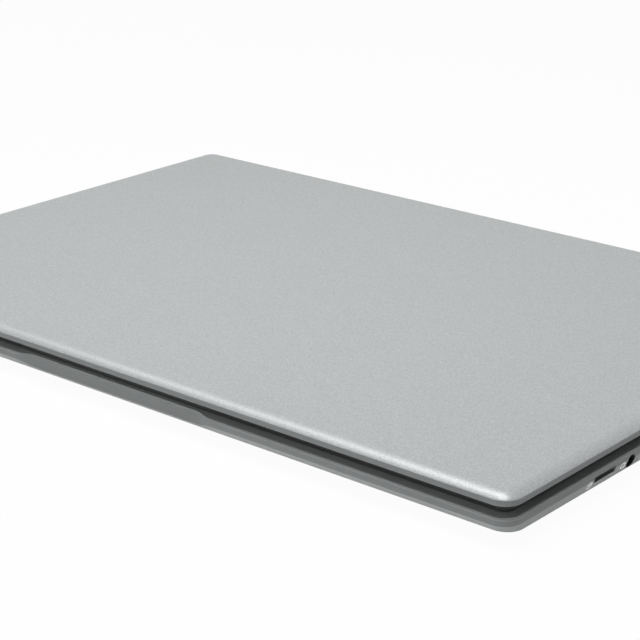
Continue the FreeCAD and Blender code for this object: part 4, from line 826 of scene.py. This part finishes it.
# %% Key legends
rows = {
    "function_keys": "esc F1 F2 F3 F4 F5 F6 F7 F8 F9 F10 F11 F12 del".split(),
    "number_keys": "~|` !|1 @|2 #|3 $|4 %|5 ^|6 &|7 *|8 (|9 )|0 _|- +|=".split(),
    "upper_letter_keys": "Q W E R T Y U I O P {|[ }|] ||\\".split(),
    "home_letter_keys": "A S D F G H J K L :|; \"|'".split(),
    "lower_letter_keys": "Z X C V B N M <|, >|. ?|/".split(),
    "modifier_keys": "ctrl fn menu alt alt ctrl".split(),
    "tab_key": ["tab"], "caps_lock_key": ["caps"], "enter_key": ["enter"], "backspace_key": ["back"],
    "left_shift_key": ["shift"], "right_shift_key": ["shift"],
}
PRINT_DROP, PAIR_SHIFT, PAIR_SIZE, LETTER_SIZE, WORD_SIZE = 0.048, 2.6, 3.4, 4.4, 2.5
pen = bpy.data.curves.new("legend_pen", "FONT")
pen.align_x, pen.align_y, pen.resolution_u = "CENTER", "CENTER", 3
pen_object = bpy.data.objects.new("legend_pen", pen)
bpy.context.scene.collection.objects.link(pen_object)


def write_on(shape, text, spot, size):
    """Add the mesh of a few letters to a shape, centred on a spot."""
    pen.body, pen.size = text, size * MM
    mesh = settled_mesh(pen_object)
    mesh.transform(Matrix.Translation(Vector(spot) * MM))
    shape.from_mesh(mesh)
    bpy.data.meshes.remove(mesh)


def legend_name(key):
    return key.replace("_keys", "").replace("_key", "") + "_legends"


for name, texts in rows.items():
    shape = bmesh.new()
    for (a, b), text in zip(key_boxes[name], texts):
        x, y = middle(a, b)
        z = b[2] - PRINT_DROP
        if len(text) == 3 and text[1] == "|":
            write_on(shape, text[0], (x, y + PAIR_SHIFT, z), PAIR_SIZE)
            write_on(shape, text[2], (x, y - PAIR_SHIFT, z), PAIR_SIZE)
        else:
            write_on(shape, text, (x, y, z), LETTER_SIZE if len(text) == 1 else WORD_SIZE)
    dress(as_piece(legend_name(name), shape), name, "key_plastic", skin="legend_ink")
bpy.data.objects.remove(pen_object)

# %% Arrow and power signs
POWER_LINE = 0.28


def key_sign(name, outlines):
    """Flat outlines on the middle of one key."""
    (a, b), = key_boxes[name]
    (x, y), z = middle(a, b), b[2] - PRINT_DROP
    sign = flat_print(legend_name(name), outlines, lambda u, v: (x + u, y + v, z))
    dress(sign, name, "key_plastic", skin="legend_ink")


arrow = [(-1.1, -0.8), (1.1, -0.8), (0, 0.9)]
for name in ("up_arrow_key", "left_arrow_key", "down_arrow_key", "right_arrow_key"):
    key_sign(name, [arrow])
    arrow = [(-v, u) for u, v in arrow]
ring_and_bar = arc(0, -0.1, 1.1, 125, 290, 20), [(0, 0.2), (0, 1.35)]
key_sign("power_key", [stroke(points, POWER_LINE) for points in ring_and_bar])

# %% [markdown]
# ## Touchpad
# A thin plate with round corners. It turns about its rear edge, so its outline keeps a small gap all round.

# %% Touchpad
PLATE_CORNER = 2.0
pad_steps = ((0.2, pad_low.z), (0, pad_low.z + 0.15), (0, pad_high.z - 0.15), (0.06, pad_high.z - 0.04),
             (0.2, pad_high.z), (0.6, pad_high.z))
pad = stack_piece("touch_plate", [[frame_ring(pad_low, pad_high, *step, PLATE_CORNER) for step in pad_steps]])
dress(pad, "touchpad", "touchpad_glass", "touchpad")

# %% [markdown]
# ## Feet and bottom screws
# Rubber feet keep the metal off the table, and eight screws hold the bottom cover. Both are turned shapes, so
# their rings are circles. Each screw head has a six-lobed recess for its driver.

# %% Feet
FOOT_RADIUS = 6.0
for row, pair in feet.items():
    turned = []
    for a, b in pair:
        x, y = middle(a, b)
        steps = ((FOOT_RADIUS - 1.0, 0.0), (FOOT_RADIUS - 0.3, 0.12), (FOOT_RADIUS - 0.05, 0.45),
                 (FOOT_RADIUS, underside(y) + 0.2))
        turned.append([lift(circle(x, y, radius), z) for radius, z in steps])
    dress(stack_piece(row + "_foot_pads", turned), "base", "rubber", row + "_feet")

# %% Bottom screws
HEAD_RADIUS, HEAD_HEIGHT, SHANK_RADIUS = 1.7, 0.6, 0.9
STAR_RADIUS, STAR_LOBES, LOBE_SHARE, STAR_DEPTH = 0.85, 6, 0.16, 0.4


def star(x, y, radius, sides=48):
    """A lobed outline for the driver."""
    points = []
    for i in range(sides):
        angle = 2 * math.pi * i / sides
        reach = radius * (1 + LOBE_SHARE * math.cos(STAR_LOBES * angle))
        points.append((x + reach * math.cos(angle), y + reach * math.sin(angle)))
    return points


turned, recesses = [], []
for a, b in screws:
    x, y = middle(a, b)
    steps = ((HEAD_RADIUS - 0.2, a[2]), (HEAD_RADIUS, a[2] + 0.15), (HEAD_RADIUS, a[2] + HEAD_HEIGHT),
             (SHANK_RADIUS, a[2] + HEAD_HEIGHT), (SHANK_RADIUS, b[2] - 0.3), (SHANK_RADIUS - 0.3, b[2]))
    turned.append([lift(circle(x, y, radius, 48), z) for radius, z in steps])
    recesses.append([lift(star(x, y, STAR_RADIUS), z) for z in (a[2] - 0.5, a[2] + STAR_DEPTH)])
screw_set = stack_piece("cover_screws", turned)
carve(screw_set, stack_piece("driver_recesses", recesses))
dress(screw_set, "base", "screw_steel", "bottom_screws")

# %% [markdown]
# ## Floor and light
# The floor is white for the camera and for reflections, and keeps a faint shadow because part of it is still
# an ordinary matt surface. Two long soft lamps and a small one hang above the lid; their reflections make the
# bright line along its front and round its corner. Low, wide lamps on all four sides light the upright walls,
# which also get much of their light back from the pale floor.

# %% Floor
FLOOR_HALF, FLOOR_DROP, FLOOR_TONE, FLOOR_WHITE = 4.0, 0.0002, 0.8, 0.96


def white_for_camera(tree):
    """1 for rays that see the floor or the world straight, in gloss or through glass, and 0 for the rest."""
    path = tree.nodes.new("ShaderNodeLightPath")
    mirrored = sum_up(tree, "MAXIMUM", path.outputs["Is Glossy Ray"], path.outputs["Is Transmission Ray"])
    return sum_up(tree, "MAXIMUM", path.outputs["Is Camera Ray"], mirrored)


shape = bmesh.new()
bmesh.ops.create_grid(shape, x_segments=8, y_segments=8, size=FLOOR_HALF)
floor = as_piece("floor", shape)
floor.location.z = -FLOOR_DROP
white = bpy.data.materials.new("white_table")
white.use_nodes = True
tree = white.node_tree
tree.nodes.clear()
share = sum_up(tree, "MULTIPLY", white_for_camera(tree), FLOOR_WHITE)
matt = place(tree, "ShaderNodeBsdfDiffuse", Color=(FLOOR_TONE, FLOOR_TONE, FLOOR_TONE, 1))
glow = place(tree, "ShaderNodeEmission", Color=(1, 1, 1, 1), Strength=1.0)
both = tree.nodes.new("ShaderNodeMixShader")
for source, socket in zip((share, matt.outputs[0], glow.outputs[0]), both.inputs):
    tree.links.new(source, socket)
tree.links.new(both.outputs[0], tree.nodes.new("ShaderNodeOutputMaterial").inputs["Surface"])
floor.data.materials.append(white)
print("floor:", 2 * FLOOR_HALF, "m wide, tone", FLOOR_TONE)

# %% World
SKY_WHITE, SKY_DIM = 0.965, 0.04
world = bpy.data.worlds.new("studio")
bpy.context.scene.world = world
world.use_nodes = True
tree = world.node_tree
tree.nodes.clear()
level = sum_up(tree, "MAXIMUM", sum_up(tree, "MULTIPLY", white_for_camera(tree), SKY_WHITE), SKY_DIM)
sky = place(tree, "ShaderNodeBackground", Color=(1, 1, 1, 1), Strength=level)
tree.links.new(sky.outputs[0], tree.nodes.new("ShaderNodeOutputWorld").inputs["Surface"])
print("world:", SKY_WHITE, "as seen,", SKY_DIM, "as light")

# %% Lamps
def softbox(name, place_at, target, size, watts, turn=0):
    """A soft lamp aimed at a target; size is its width and depth, turn spins it about its own axis."""
    data = bpy.data.lights.new(name, "AREA")
    data.shape, data.energy = "RECTANGLE", watts
    data.size, data.size_y = size
    lamp = bpy.data.objects.new(name, data)
    lamp.location = place_at
    aim = (Vector(target) - Vector(place_at)).to_track_quat("-Z", "Y")
    lamp.rotation_euler = (aim @ Quaternion((0, 0, 1), math.radians(turn))).to_euler()
    bpy.context.scene.collection.objects.link(lamp)
    print(name, "at", place_at, watts, "W")


def below(spot):
    """The floor under a spot, a hair to the rear, which settles how a hanging lamp is spun."""
    return spot[0], spot[1] + 0.0001, 0


low_lamps = (("front_fill", (-0.5, -1.6, 0.45), (1.2, 0.7), 4.3),
             ("right_fill", (1.5, -0.5, 0.5), (0.8, 0.6), 0.35),
             ("back_fill", (0.0, 1.7, 0.4), (0.8, 0.6), 2.5),
             ("left_fill", (-1.6, -0.25, 0.4), (1.0, 0.6), 1))
hanging_lamps = (("left_strip", (-0.75, 0.1, 1.1), (0.7, 0.25), 4.2, -15),
                 ("near_strip", (-0.01, -0.03, 0.6), (0.35, 0.16), 2.3, -15),
                 ("corner_lamp", (0.19, -0.14, 0.6), (0.18, 0.18), 0.95))
for name, spot, *rest in low_lamps:
    softbox(name, spot, (0, 0, 0), *rest)
for name, spot, *rest in hanging_lamps:
    softbox(name, spot, below(spot), *rest)
bpy.context.scene.view_settings.view_transform = "Standard"
